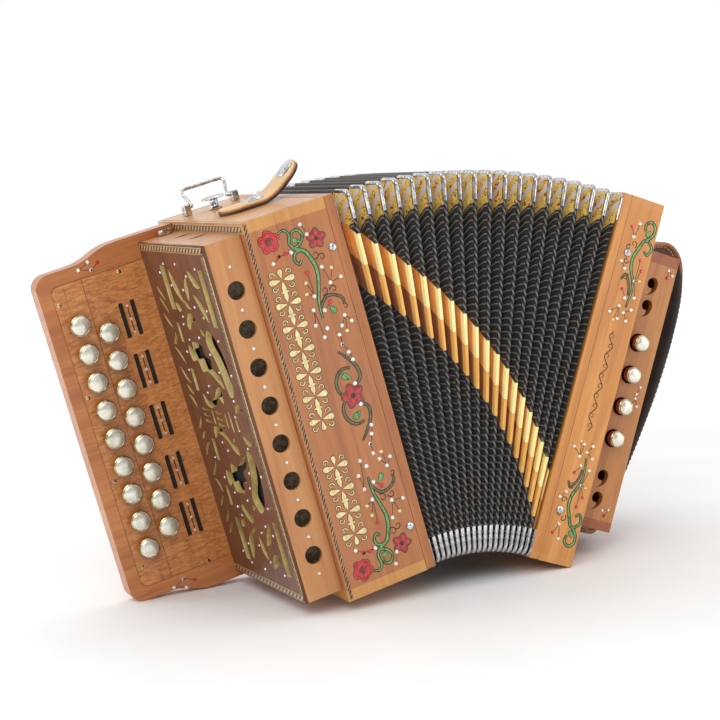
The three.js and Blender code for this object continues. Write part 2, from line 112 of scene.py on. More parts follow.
def make_camera():
    data = bpy.data.cameras.new("view")
    data.lens = LENS
    data.sensor_width = SENSOR
    data.clip_end = 20
    camera = bpy.data.objects.new("view", data)
    bpy.context.scene.collection.objects.link(camera)
    lean = (UP_T + UP_B).normalized()
    across = BACK.cross(lean)
    turn, rise, roll = (math.radians(CAMERA[key]) for key in ("round", "above", "roll"))
    outward = (-math.sin(turn) * math.cos(rise) * across - math.cos(turn) * math.cos(rise) * BACK
               + math.sin(rise) * lean)
    right = (-outward).cross(lean).normalized()
    up = right.cross(-outward)
    rolled_right = math.cos(roll) * right + math.sin(roll) * up
    rolled_up = math.cos(roll) * up - math.sin(roll) * right
    place = Vector(CAMERA["target"]) * MM + outward * CAMERA["distance"] * MM
    camera.matrix_world = Matrix.Translation(place) @ Matrix(
        (rolled_right, rolled_up, outward)).transposed().to_4x4()
    bpy.context.scene.camera = camera


LIGHTS = (  # name, place and size in metres, power in watts
    ("key", (-1.0, -1.5, 1.35), (1.3, 1.0), 13),
    ("fill", (1.3, -1.3, 0.7), (1.4, 1.4), 6),
    ("top", (0.1, 0.35, 1.7), (1.8, 1.2), 2),
    ("rim", (-1.4, 0.9, 0.9), (0.8, 1.2), 6),
)
LIT_POINT = (0, 0, 0.16)


def make_lights():
    for name, place, size, power in LIGHTS:
        data = bpy.data.lights.new(name, "AREA")
        data.shape = "RECTANGLE"
        data.size, data.size_y = size
        data.energy = power
        light = bpy.data.objects.new(name, data)
        bpy.context.scene.collection.objects.link(light)
        light.location = place
        aim = Vector(LIT_POINT) - Vector(place)
        light.rotation_euler = aim.to_track_quat("-Z", "Y").to_euler()
    bpy.context.scene.world = make_world()
    bpy.context.scene.view_settings.view_transform = "Standard"


DIMMEST = 0.46  # strength of the room's light in front of the instrument


def make_world():
    """A soft white room: dimmer before the instrument, brighter behind it and overhead."""
    world = bpy.data.worlds.new("studio")
    world.use_nodes = True
    tree = world.node_tree
    background = tree.nodes["Background"]
    background.inputs["Color"].default_value = (1, 1, 1, 1)
    way = tree.nodes.new("ShaderNodeTexCoord")
    split = tree.nodes.new("ShaderNodeSeparateXYZ")
    brightest = tree.nodes.new("ShaderNodeMath")
    brightest.operation = "MAXIMUM"
    tree.links.new(way.outputs["Generated"], split.inputs[0])
    for i, (axis, start, end, level) in enumerate((("Y", 0.1, 0.7, 1.0), ("Z", 0.45, 0.95, 1.15))):
        share = tree.nodes.new("ShaderNodeMapRange")
        for key, value in (("From Min", start), ("From Max", end), ("To Min", DIMMEST), ("To Max", level)):
            share.inputs[key].default_value = value
        tree.links.new(split.outputs[axis], share.inputs["Value"])
        tree.links.new(share.outputs[0], brightest.inputs[i])
    tree.links.new(brightest.outputs[0], background.inputs["Strength"])
    return world


# ------------------------------------------------------------------ materials
def srgb(red, green, blue):
    """A colour written as 0 to 255 screen values, in linear light."""
    def linear(value):
        value /= 255
        return value / 12.92 if value <= 0.04045 else ((value + 0.055) / 1.055) ** 2.4
    return (linear(red), linear(green), linear(blue), 1)


def feed(tree, socket, value):
    """Links another node's output to a socket, or sets the socket to a plain value."""
    if isinstance(value, bpy.types.NodeSocket):
        tree.links.new(value, socket)
    else:
        socket.default_value = value


class Look:
    """A material being built: each method adds a node and gives back its output."""

    def __init__(self, name, colour=(0.5, 0.5, 0.5, 1), **shader):
        self.material = bpy.data.materials.new(name)
        self.material.use_nodes = True
        self.tree = self.material.node_tree
        self.shader = self.tree.nodes["Principled BSDF"]
        self.set("Base Color", colour)
        for key, value in shader.items():
            self.set(key.replace("_", " "), value)

    def set(self, key, value):
        feed(self.tree, self.shader.inputs[key], value)

    def node(self, kind, inputs, **settings):
        made = self.tree.nodes.new(kind)
        for key, value in settings.items():
            setattr(made, key, value)
        for key, value in inputs.items():
            feed(self.tree, made.inputs[key], value)
        return made

    def spot(self):
        """Object coordinates in metres."""
        return self.node("ShaderNodeTexCoord", {}).outputs["Object"]

    def place(self, scale=(1, 1, 1), turn=(0, 0, 0)):
        """Object coordinates, scaled and turned."""
        inputs = {"Vector": self.spot(), "Scale": scale, "Rotation": turn}
        return self.node("ShaderNodeMapping", inputs).outputs[0]

    def axis(self, index):
        return self.node("ShaderNodeSeparateXYZ", {"Vector": self.spot()}).outputs[index]

    def noise(self, vector, scale, detail=4.0, roughness=0.55, distortion=0.0):
        return self.node("ShaderNodeTexNoise", {
            "Vector": vector, "Scale": scale, "Detail": detail, "Roughness": roughness,
            "Distortion": distortion}).outputs["Fac"]

    def cells(self, vector, scale):
        return self.node("ShaderNodeTexVoronoi", {"Vector": vector, "Scale": scale}).outputs["Distance"]

    def math(self, operation, first, second=0.0):
        return self.node("ShaderNodeMath", {0: first, 1: second}, operation=operation).outputs[0]

    def plus(self, first, second):
        return self.math("ADD", first, second)

    def minus(self, first, second):
        return self.math("SUBTRACT", first, second)

    def times(self, first, second):
        return self.math("MULTIPLY", first, second)

    def size(self, value):
        return self.math("ABSOLUTE", value)

    def ramp(self, value, *stops):
        made = self.node("ShaderNodeValToRGB", {"Fac": value})
        while len(made.color_ramp.elements) < len(stops):
            made.color_ramp.elements.new(0.5)
        for element, (at, colour) in zip(made.color_ramp.elements, stops):
            element.position = at
            element.color = colour
        return made.outputs["Color"]

    def between(self, value, low, high, to_low=0.0, to_high=1.0):
        """A value spread from low..high to to_low..to_high, and held at both ends."""
        inputs = {"Value": value, "From Min": low, "From Max": high, "To Min": to_low, "To Max": to_high}
        return self.node("ShaderNodeMapRange", inputs).outputs[0]

    def mix(self, share, first, second):
        """Two colours mixed: inputs 6 and 7 of the node are its colours, and output 2 the mixed one."""
        inputs = {"Factor": share, 6: first, 7: second}
        return self.node("ShaderNodeMix", inputs, data_type="RGBA").outputs[2]

    def attribute(self, name):
        return self.node("ShaderNodeAttribute", {}, attribute_name=name).outputs["Fac"]

    def bump(self, height, strength=0.3, distance=0.0003):
        inputs = {"Height": height, "Strength": strength, "Distance": distance}
        self.set("Normal", self.node("ShaderNodeBump", inputs).outputs[0])


GRAIN = {"a": (3.5, 60, 60), "b": (60, 3.5, 60), "c": (60, 60, 3.5)}  # scales for grain along each axis


def wood(name, dark, middle, light, grain="c", gloss=0.36, coat=0.25, figure=0.0, bands=None):
    """Lacquered wood: slow colour drift, growth lines, fine pores and, on figured wood, cross ripples.

    bands is (height, dark, light): another colour of wood this far from the top and bottom of a case: rails
    of another wood on the treble and bass cases, a darker end on the bass box."""
    look = Look(name, Roughness=gloss, Coat_Weight=coat, Coat_Roughness=0.14)
    stretch = GRAIN[grain]
    lines = look.noise(look.place(stretch), 1.6, 5, 0.6, 0.9)
    drift = look.noise(look.place(tuple(s / 9 for s in stretch)), 1.2, 3, 0.5, 0.3)
    fine = look.noise(look.place(tuple(s * 7 for s in stretch)), 1.5, 3, 0.6)
    tone = look.plus(look.times(lines, 0.55), look.times(drift, 0.45))
    if figure:
        ripple = look.noise(look.place((120, 120, 420), (0, 0.5, 0)), 1.4, 2, 0.5, 0.8)
        tone = look.plus(look.times(tone, 1 - figure), look.times(ripple, figure))
    colour = look.ramp(tone, (0.36, dark), (0.5, middle), (0.64, light))
    pores = look.between(fine, 0.6, 0.72)
    colour = look.mix(look.times(pores, 0.4), colour, tuple(0.55 * v for v in dark[:3]) + (1,))
    if bands:
        rail, rail_dark, rail_light = bands
        far = look.size(look.minus(look.axis(2), HEIGHT * MM / 2))
        share = look.between(far, (HEIGHT / 2 - rail) * MM, (HEIGHT / 2 - rail + 0.4) * MM)
        colour = look.mix(share, colour, look.ramp(tone, (0.36, rail_dark), (0.64, rail_light)))
    look.set("Base Color", colour)
    look.set("Roughness", look.between(fine, 0.3, 0.7, gloss - 0.06, gloss + 0.1))
    look.bump(look.minus(tone, look.times(pores, 0.5)), 0.12, 0.0004)
    return look.material


def cloth_look(name, dark, light):
    """Plain woven cloth."""
    pitch = 0.7 * MM  # of a pair of threads
    look = Look(name, dark, Roughness=0.85, Sheen_Weight=0.25, Sheen_Roughness=0.5)
    warp = look.math("SINE", look.times(look.axis(1), math.tau / pitch))
    weft = look.math("SINE", look.times(look.axis(2), math.tau / pitch))
    weave = look.times(warp, weft)
    drift = look.noise(look.place(), 60, 4)
    share = look.plus(look.between(weave, -1, 1, 0, 0.35), look.between(drift, 0.35, 0.7, 0, 0.65))
    look.set("Base Color", look.ramp(share, (0.1, dark), (1.0, light)))
    look.bump(weave, 0.35, 0.0002)
    return look.material


def leather_look(name, dark, middle, light, gloss=0.45):
    look = Look(name, middle, Roughness=gloss, Coat_Weight=0.08, Coat_Roughness=0.4)
    grain = look.cells(look.place(), 900)
    wear = look.noise(look.place(), 45, 5)
    creases = look.noise(look.place((1, 1, 3)), 160, 3, 0.6, 1.2)
    share = look.plus(look.times(wear, 0.7), look.times(creases, 0.3))
    look.set("Base Color", look.ramp(share, (0.35, dark), (0.52, middle), (0.68, light)))
    look.set("Roughness", look.between(wear, 0.3, 0.7, gloss - 0.1, gloss + 0.15))
    look.bump(look.plus(grain, look.times(creases, 0.4)), 0.25, 0.0002)
    return look.material


def metal_look(name, colour, shade, gloss=0.12):
    look = Look(name, colour, Metallic=1.0, Roughness=gloss)
    # painted reflections: the colour drifts in blotches between the metal's colour and a darker shade,
    # standing in for dark surroundings mirrored in the metal; the same noise also varies the roughness
    painted_reflection_noise = look.noise(look.place(), 170, 3, 0.5, 1.6)
    scratch = look.noise(look.place((30, 900, 60)), 2, 3)
    look.set("Base Color", look.ramp(painted_reflection_noise, (0.4, shade), (0.56, colour)))
    look.set("Roughness", look.between(painted_reflection_noise, 0.3, 0.7, gloss, gloss + 0.1))
    look.bump(scratch, 0.03, 0.0001)
    return look.material


def paint_look(name, dark, light, gloss=0.3, metallic=0.0, coat=0.3):
    """Lacquer colour with slight brushed drift, for inlay and painted ornament."""
    look = Look(name, light, Roughness=gloss, Metallic=metallic, Coat_Weight=coat, Coat_Roughness=0.1)
    drift = look.noise(look.place((1, 1, 0.4)), 520, 4, 0.6)
    look.set("Base Color", look.ramp(drift, (0.35, dark), (0.62, light)))
    look.set("Roughness", look.between(drift, 0.3, 0.7, gloss - 0.06, gloss + 0.12))
    look.bump(drift, 0.1, 0.0002)
    return look.material


def crystal_look(name, colour, shade):
    look = Look(name, colour, Metallic=0.55, Roughness=0.06, Coat_Weight=1.0, Coat_Roughness=0.02)
    # painted glints: the colour steps between a darker shade and the full colour in small cells, like light
    # caught by cut facets
    painted_facet_glints = look.cells(look.place(), 700)
    look.set("Base Color", look.ramp(painted_facet_glints, (0.1, shade), (0.45, colour)))
    return look.material


def pearl_look(name):
    """Silvered shell: a soft sheen that drifts slowly over the dome."""
    look = Look(name, Roughness=0.24, Coat_Weight=0.5, Coat_Roughness=0.06, Metallic=0.65)
    swirl = look.noise(look.place(), 110, 4, 0.55, 1.2)
    shades = ((0.32, srgb(206, 203, 184)), (0.5, srgb(232, 229, 212)), (0.68, srgb(248, 246, 236)))
    look.set("Base Color", look.ramp(swirl, *shades))
    look.set("Roughness", look.between(swirl, 0.3, 0.7, 0.2, 0.3))
    return look.material


PURFLING_PITCH, ROPE_PITCH = 6.4, 3.4


def purfling_look(name, along):
    """Slanted dark and light blocks between two pale lines; cross holds 0 to 1 over the strip's width."""
    look = Look(name, Roughness=0.35, Coat_Weight=0.3, Coat_Roughness=0.1)
    run = look.times(look.axis(along), 1 / (PURFLING_PITCH * MM))
    cross = look.attribute("cross")
    phase = look.math("FRACT", look.plus(run, cross))
    grain = look.noise(look.place(), 900, 3)
    pale = look.ramp(grain, (0.3, srgb(176, 140, 96)), (0.7, srgb(214, 186, 140)))
    deep = look.ramp(grain, (0.3, srgb(40, 26, 16)), (0.7, srgb(70, 48, 30)))
    blocks = look.mix(look.between(phase, 0.46, 0.54), pale, deep)
    edge = look.size(look.minus(cross, 0.5))
    lined = look.mix(look.between(edge, 0.32, 0.34), blocks, deep)
    look.set("Base Color", look.mix(look.between(edge, 0.39, 0.41), lined, pale))
    look.bump(grain, 0.1, 0.0002)
    return look.material


def speckle_look(name, along):
    """A narrow rope inlay: short dark dashes on straw-coloured wood."""
    look = Look(name, Roughness=0.4, Coat_Weight=0.25, Coat_Roughness=0.12)
    run = look.times(look.axis(along), 1 / (ROPE_PITCH * MM))
    wobble = look.noise(look.place(), 420, 3)
    phase = look.math("FRACT", look.plus(look.plus(run, look.attribute("cross")), look.times(wobble, 0.9)))
    straw = look.ramp(wobble, (0.35, srgb(120, 84, 46)), (0.65, srgb(190, 156, 104)))
    look.set("Base Color", look.mix(look.between(phase, 0.42, 0.6), straw, srgb(38, 24, 15)))
    look.bump(phase, 0.1, 0.0002)
    return look.material


M = {  # wood colours are dark, middle and light
    "cherry": wood("cherry", srgb(150, 90, 50), srgb(176, 112, 66), srgb(190, 126, 76), "c",
                   bands=(8.2, srgb(184, 124, 65), srgb(214, 158, 90))),
    "box": wood("box_wood", srgb(168, 108, 59), srgb(188, 128, 76), srgb(202, 146, 90), "c"),
    "strip": wood("strip_wood", srgb(150, 90, 49), srgb(176, 110, 61), srgb(196, 132, 76), "c"),
    "board": wood("board_wood", srgb(156, 90, 45), srgb(184, 112, 59), srgb(202, 134, 74), "a"),
    "plate": wood("plate_wood", srgb(160, 92, 45), srgb(190, 120, 63), srgb(212, 146, 81), "c", figure=0.6),
    "bass": wood("bass_wood", srgb(180, 112, 50), srgb(206, 138, 67), srgb(222, 160, 85), "c",
                 bands=(5.5, srgb(190, 124, 59), srgb(216, 156, 85))),
    # the bass box is darker within 38.5 mm of the case's top and bottom
    "bass_box": wood("bass_box_wood", srgb(164, 104, 52), srgb(188, 126, 67), srgb(206, 148, 83), "c",
                     bands=(38.5, srgb(142, 76, 40), srgb(172, 102, 56))),
    "grille": wood("grille_wood", srgb(74, 40, 22), srgb(98, 55, 32), srgb(116, 68, 40), "c", gloss=0.42),
    "straw": wood("cut_edge", srgb(176, 150, 88), srgb(214, 190, 119), srgb(232, 212, 144), "b",
                  gloss=0.6, coat=0),
    "reed": wood("reed_wood", srgb(176, 130, 80), srgb(205, 160, 106), srgb(222, 184, 130), "c",
                 gloss=0.6, coat=0),
    "leather": leather_look("strap_leather", srgb(196, 152, 100), srgb(218, 182, 132), srgb(230, 200, 156)),
    "leather_edge": leather_look("strap_edge", srgb(120, 66, 34), srgb(168, 100, 58), srgb(200, 134, 84)),
    "leather_dark": leather_look("strap_lining", srgb(34, 30, 28), srgb(50, 46, 44), srgb(74, 68, 64), 0.6),
    "strap_brown": leather_look("hand_strap_leather", srgb(110, 66, 38), srgb(146, 92, 54),
                                srgb(172, 114, 70)),
    "pad": cloth_look("pad_cloth", srgb(28, 21, 20), srgb(58, 44, 40)),
    "chrome": metal_look("chrome", (0.72, 0.73, 0.74, 1), (0.4, 0.4, 0.41, 1), 0.08),
    "brass": metal_look("brass_rim", srgb(206, 188, 146), srgb(150, 124, 84), 0.18),
    "steel": metal_look("steel_mesh", srgb(150, 138, 116), srgb(104, 94, 78), 0.4),
    "pearl": pearl_look("pearl"),
    "bass_dome": pearl_look("bass_pearl"),
    "purfling": purfling_look("purfling", 1),
    "speckle": speckle_look("rope_inlay", 2),
    "dark": paint_look("burnt_line", srgb(44, 28, 18), srgb(66, 44, 30), 0.5, 0, 0.1),
    "black": paint_look("black_felt", srgb(18, 15, 13), srgb(34, 29, 26), 0.8, 0, 0),
    "green": paint_look("leaf_green", srgb(62, 112, 58), srgb(112, 182, 100)),
    "stem": paint_look("stem_green", srgb(70, 74, 44), srgb(112, 112, 72)),
    "red": paint_look("petal_red", srgb(168, 30, 36), srgb(214, 56, 58)),
    "rose": paint_look("petal_shade", srgb(120, 40, 40), srgb(160, 66, 60)),
    "gold": paint_look("gold_inlay", srgb(206, 186, 124), srgb(240, 226, 170), 0.3, 0.15),
    "crystal": crystal_look("crystal_clear", (0.95, 0.95, 0.95, 1), (0.55, 0.53, 0.5, 1)),
    "ruby": crystal_look("crystal_red", (0.7, 0.02, 0.04, 1), (0.4, 0.01, 0.02, 1)),
    "amber": crystal_look("crystal_amber", (0.85, 0.66, 0.3, 1), (0.5, 0.4, 0.16, 1)),
}


# ------------------------------------------------------------------ mesh tools
class Shape:
    """Vertices in millimetres in a side's frame, faces, and named values on the vertices."""

    def __init__(self):
        self.points, self.faces, self.values = [], [], {}

    def add(self, points, faces, **values):
        start = len(self.points)
        for name in set(self.values) | set(values):
            kept = self.values.setdefault(name, [0.0] * start)
            kept.extend(values.get(name, [0.0] * len(points)))
        self.points.extend(tuple(map(float, p)) for p in points)
        self.faces.extend(tuple(i + start for i in face) for face in faces)

    def sheet(self, rows, close_rows=False, close_across=False, **values):
        """A grid of points: rows[i][j]. Values are grids of the same size."""
        rows = np.asarray(rows, float)
        m, n = rows.shape[:2]
        faces = []
        for i in range(m if close_rows else m - 1):
            for j in range(n if close_across else n - 1):
                this, after, right = i * n, (i + 1) % m * n, (j + 1) % n
                faces.append((this + j, after + j, after + right, this + right))
        flat = {name: np.asarray(grid, float).reshape(-1).tolist() for name, grid in values.items()}
        self.add(rows.reshape(-1, 3), faces, **flat)

    def bar(self, rows):
        """A sheet closed round its rows, with a face over each end."""
        start, sides = len(self.points), len(rows[0])
        last = start + (len(rows) - 1) * sides
        self.sheet(rows, close_across=True)
        self.faces.append(tuple(start + i for i in range(sides)))
        self.faces.append(tuple(last + i for i in reversed(range(sides))))

    def make(self, name, side, material, body=None, slot=None, smooth=35.0, replaces=()):
        mesh = bpy.data.meshes.new(name)
        mesh.from_pydata([tuple(v * MM for v in p) for p in self.points], [], self.faces)
        for key, kept in self.values.items():
            mesh.attributes.new(key, "FLOAT", "POINT").data.foreach_set("value", kept)
        mesh.validate()
        return place(name, mesh, side, material, body, slot, smooth, replaces)


def place(name, mesh, side, material, body, slot, smooth=35.0, replaces=()):
    mesh.name = name
    if material is not None:
        mesh.materials.clear()
        mesh.materials.append(material)
    if smooth:
        mesh.shade_smooth()
        mesh.set_sharp_from_angle(angle=math.radians(smooth))
    made = bpy.data.objects.new(name, mesh)
    bpy.context.scene.collection.objects.link(made)
    made.matrix_world = side
    if body:
        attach(made, body)
    if replaces:
        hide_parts(*replaces)
    return made


def cut_rims(work, depth):
    """Splits faces a little way in from each end of the mesh's box, so a bevel leaves openings alone."""
    points = np.array([v.co for v in work.verts])
    low, high = points.min(axis=0), points.max(axis=0)
    for axis in range(3):
        if high[axis] - low[axis] < 3 * depth:
            continue
        way = Vector(int(axis == k) for k in range(3))
        for at in (low[axis] + depth, high[axis] - depth):
            geometry = work.verts[:] + work.edges[:] + work.faces[:]
            bmesh.ops.bisect_plane(work, geom=geometry, plane_co=way * at, plane_no=way)


def refine(node, side, body, material, slot, bevel=0.8, shortest=14.0):
    """The CAD node again with its long edges rounded off."""
    mesh = NODES[node].data.copy()
    mesh.transform(side.inverted())
    work = bmesh.new()
    work.from_mesh(mesh)
    bmesh.ops.remove_doubles(work, verts=work.verts, dist=1e-5)
    bmesh.ops.dissolve_limit(work, angle_limit=math.radians(1), verts=work.verts, edges=work.edges)
    for edge in work.edges:
        edge.seam = (len(edge.link_faces) == 2 and edge.calc_length() > shortest * MM
                     and edge.calc_face_angle(0) > math.radians(40))
    cut_rims(work, bevel * 1.5 * MM)
    edges = [edge for edge in work.edges if edge.seam]
    bmesh.ops.bevel(work, geom=edges, offset=bevel * MM, segments=3, profile=0.6, affect="EDGES",
                    clamp_overlap=True)
    work.to_mesh(mesh)
    work.free()
    made = place(node + "_finish", mesh, side, material, body, slot, 35.0, (node,))
    flat = made.modifiers.new("flat_faces", "WEIGHTED_NORMAL")
    flat.weight = 100
    flat.keep_sharp = True
    return made


def curve(points, count):
    """Catmull-Rom points along a given line."""
    points = np.asarray(points, float)
    ends = np.vstack([2 * points[0] - points[1], points, 2 * points[-1] - points[-2]])
    line = []
    for t in np.linspace(0, len(points) - 1, count):
        i = min(int(t), len(points) - 2)
        s = t - i
        p0, p1, p2, p3 = ends[i:i + 4]
        line.append(0.5 * (2 * p1 + (p2 - p0) * s + (2 * p0 - 5 * p1 + 4 * p2 - p3) * s ** 2
                           + (3 * p1 - p0 - 3 * p2 + p3) * s ** 3))
    return np.array(line)


def resample(line, step):
    """Points at even steps along a polyline."""
    line = np.asarray(line, float)
    runs = run_lengths(line)
    count = max(2, int(round(runs[-1] / step)) + 1)
    at = np.linspace(0, runs[-1], count)
    return np.stack([np.interp(at, runs, line[:, k]) for k in range(line.shape[1])], axis=1)


def unit_rows(vectors):
    return vectors / np.linalg.norm(vectors, axis=1)[:, None]


def side_normals(line):
    """Unit vectors across a flat line (x, y), to its right."""
    tangents = unit_rows(np.gradient(line, axis=0))
    return np.stack([tangents[:, 1], -tangents[:, 0]], axis=1)


def run_lengths(line):
    """Distance from the start of a line to each of its points."""
    return np.concatenate([[0], np.cumsum(np.linalg.norm(np.diff(line, axis=0), axis=1))])


def around(x, y, radius, angles):
    """Points about (x, y) at angles in radians; the radius may change from angle to angle."""
    return np.stack([x + radius * np.cos(angles), y + radius * np.sin(angles)], axis=1)


def full_turn(count):
    return np.linspace(0, math.tau, count, endpoint=False)


ASKEW = (0.31, 0.17, 0.93)  # a direction that no bar here runs along


def tube(shape, line, radius, sides=8):
    """A round bar along points in space, with closed ends."""
    line = np.asarray(line, float)
    tangents = unit_rows(np.gradient(line, axis=0))
    side = np.cross(tangents[0], ASKEW)
    turn = full_turn(sides)[:, None]
    rows = []
    for point, tangent in zip(line, tangents):
        side = side - tangent * np.dot(side, tangent)
        side /= np.linalg.norm(side)
        other = np.cross(tangent, side)
        rows.append(point + radius * (np.cos(turn) * side + np.sin(turn) * other))
    shape.bar(rows)


def lathe(shape, centre, axis, profile, sides=32):
    """Profile points (radius, distance along axis) turned about an axis."""
    axis = np.asarray(axis, float)
    first = np.cross(axis, (0.3, 0.5, 0.81))
    first /= np.linalg.norm(first)
    second = np.cross(axis, first)
    turn = full_turn(sides)[:, None]
    rim = np.cos(turn) * first + np.sin(turn) * second
    rows = [np.asarray(centre) + r * rim + h * axis for r, h in profile]
    shape.sheet(rows, close_across=True)


class Relief:
    """Low ornament on a flat face: (x, y) on the face and a lift above it."""

    def __init__(self, face, level):
        self.face, self.level, self.shape = face, level, Shape()

    def point(self, x, y, lift):
        if self.face == "front":
            return (x, self.level - lift, y)
        if self.face == "rear":
            return (x, self.level + lift, y)
        if self.face == "outer":
            return (self.level - lift, x, y)
        return (x, y, self.level + lift)

    def ribbon(self, line, width, low=0.0, high=0.3):
        """A band along a line, its width given at points along it, crowned in the middle."""
        line = np.asarray(line, float)
        given = np.atleast_1d(width)
        widths = np.interp(np.linspace(0, 1, len(line)), np.linspace(0, 1, len(given)), given)
        tangents = np.gradient(line, axis=0)
        tangents /= np.maximum(np.linalg.norm(tangents, axis=1), 1e-9)[:, None]
        across = np.stack([-tangents[:, 1], tangents[:, 0]], axis=1)
        rows = []
        for point, side, wide in zip(line, across, widths):
            row = [self.point(*(point + side * wide * k / 2), low if abs(k) == 1 else high)
                   for k in (-1, -0.55, 0, 0.55, 1)]
            rows.append(row)
        self.shape.sheet(rows, cross=np.tile([0, 0.225, 0.5, 0.775, 1], (len(line), 1)))

    def blob(self, outline, low=0.0, high=0.4, inset=0.35):
        """A filled outline with a raised middle."""
        outline = np.asarray(outline, float)
        middle = outline.mean(axis=0)
        rings = [(1.0, low), (1 - inset * 0.5, high * 0.8), (1 - inset, high)]
        rows = [[self.point(*(middle + (p - middle) * k), lift) for p in outline] for k, lift in rings]
        n = len(outline)
        start = len(self.shape.points)
        self.shape.sheet(rows, close_across=True)
        self.shape.add([self.point(*middle, high)], [])
        hub = len(self.shape.points) - 1
        ring = start + 2 * n
        self.shape.faces.extend((ring + i, hub, ring + (i + 1) % n) for i in range(n))

    def gem(self, x, y, radius=1.3, sides=8, height=1.1):
        turn = full_turn(sides) + random.random()
        rings = [(1.0, 0.0), (1.05, 0.35), (0.62, height)]
        rows = [[self.point(x + radius * k * math.cos(t), y + radius * k * math.sin(t), lift) for t in turn]
                for k, lift in rings]
        start = len(self.shape.points)
        self.shape.sheet(rows, close_across=True)
        self.shape.faces.append(tuple(start + 2 * sides + i for i in range(sides)))

    def make(self, name, side, body, material, slot, smooth=35.0):
        return self.shape.make(name, side, M[material], body, slot, smooth)


# ------------------------------------------------------------------ bellows
FOLD_INSET, FOLD_CORNER, FOLD_DEPTH = 1.0, 5.0, 17.0
TAPE_DEPTH, TAPE_LIFT = 13.4, 0.25  # black tape over each ridge
RIB_PITCH, RIB_HEIGHT = 5.0, 0.45  # threads that cross the tape
STRIPE_START, STRIPE_FALL, STRIPE_HALF = 231.0, 9.95, 22.0  # middle height, drop for each fold, half height
BARE_CORNER = 18.0  # the upper corners show lining, not tape, this far from the mitre
SIDE, CORNER = 0, 1  # the two kinds of stop; a stop is (kind, number of the side or corner, share along it)
FRONT_SIDE = 3


def outline(depth, stops):
    """Points (b, c) and outward directions round the bellows at a depth below the ridge."""
    inset = FOLD_INSET + depth
    radius = max(FOLD_CORNER - depth, 1.2)
    lows, highs = inset + radius, (DEPTH - inset - radius, HEIGHT - inset - radius)
    centres = np.array([(lows, lows), (highs[0], lows), highs, (lows, highs[1])])
    points, outward = [], []
    for kind, i, t in stops:
        angle = math.radians(180 + 90 * i + 90 * (t if kind == CORNER else 1))
        way = np.array((math.cos(angle), math.sin(angle)))
        centre = centres[i] if kind == CORNER else centres[i] * (1 - t) + centres[(i + 1) % 4] * t
        points.append(centre + radius * way)
        outward.append(way)
    return np.array(points), np.array(outward)


def side_length(i):
    return (DEPTH if i % 2 == 0 else HEIGHT) - 2 * (FOLD_INSET + FOLD_CORNER)


def ring_stops(spacing, pattern=(0.0,), corner=4):
    """Stops round the ring: every cell along a side holds the pattern of places."""
    stops = []
    for i in range(4):
        stops += [(CORNER, i, t) for t in np.linspace(0, 1, corner, endpoint=False)]
        cells = max(1, round(side_length(i) / spacing))
        stops += [(SIDE, i, (j + p) / cells) for j in range(cells) for p in pattern]
    return stops


def stripe_band(c, u):
    return c - (STRIPE_START - STRIPE_FALL * u)


def on_front(stop):
    return stop[0] == SIDE and stop[1] == FRONT_SIDE


def mitre_distance(stop):
    kind, i, t = stop
    return 0.0 if kind == CORNER else min(t, 1 - t) * side_length(i)


STRIPE_LIP = (  # darker and lighter shades of the stripe's upper half, then of its lower half
    (srgb(252, 232, 146), srgb(255, 246, 188)), (srgb(226, 162, 74), srgb(244, 194, 106)))
STRIPE_SLOPE = ((srgb(214, 138, 56), srgb(246, 178, 90)), (srgb(134, 72, 34), srgb(172, 102, 52)))


def stripe_colours(look, band, upper, lower):
    grain = look.noise(look.place((260, 260, 14)), 1.4, 4, 0.6)
    top = look.ramp(grain, (0.35, upper[0]), (0.65, upper[1]))
    bottom = look.ramp(grain, (0.35, lower[0]), (0.65, lower[1]))
    return look.mix(look.between(band, -0.15, 0.15), bottom, top)


def in_stripe(look, band):
    near = look.between(look.size(band), STRIPE_HALF + 0.15, STRIPE_HALF - 0.15)
    return look.times(look.attribute("front"), near)


def pleat_look():
    """Black tape with pale threads, card lining, patterned paper near the top and silver corner strips."""
    look = Look("pleats", Roughness=0.75, Sheen_Weight=0.1, Sheen_Roughness=0.6)
    depth, band, thread = (look.attribute(key) for key in ("depth", "band", "thread"))
    mitre, high, share = look.attribute("mitre"), look.attribute("high"), look.attribute("share")
    weave = look.noise(look.place(), 1500, 3)
    tape = look.ramp(weave, (0.3, srgb(22, 19, 17)), (0.7, srgb(40, 36, 32)))
    tape = look.mix(look.between(thread, 0.1, 0.4), tape, srgb(126, 120, 112))
    fibre = look.noise(look.place((40, 40, 8)), 3, 4)
    card = look.ramp(fibre, (0.35, srgb(132, 70, 34)), (0.65, srgb(184, 108, 56)))
    figures = look.noise(look.place(), 150, 2, 0.5, 2.2)
    paper = look.ramp(figures, (0.36, srgb(150, 36, 26)), (0.4, srgb(206, 168, 70)),
                      (0.5, srgb(226, 194, 96)), (0.57, srgb(222, 190, 92)), (0.6, srgb(60, 66, 30)),
                      (0.66, srgb(214, 180, 84)))
    lining = look.mix(look.times(high, look.between(mitre, BARE_CORNER + 1, BARE_CORNER - 1)), card, paper)
    gusset = look.size(look.minus(mitre, look.between(share, 0, 1, 15, 3)))
    lining = look.mix(look.times(high, look.between(gusset, 2.6, 2.2)), lining, srgb(196, 188, 196))
    covered = look.math("MAXIMUM", look.between(mitre, BARE_CORNER - 0.4, BARE_CORNER),
                        look.between(high, 0.6, 0.4))
    taped = look.times(look.between(depth, TAPE_DEPTH + 0.15, TAPE_DEPTH + 0.05), covered)
    colour = look.mix(taped, lining, tape)
    inlay = stripe_colours(look, band, *STRIPE_SLOPE)
    lip = stripe_colours(look, band, *STRIPE_LIP)
    inlay = look.mix(look.between(depth, 3.4, 3.0), inlay, lip)
    look.set("Base Color", look.mix(in_stripe(look, band), colour, inlay))
    look.bump(weave, 0.3, 0.0002)
    return look.material


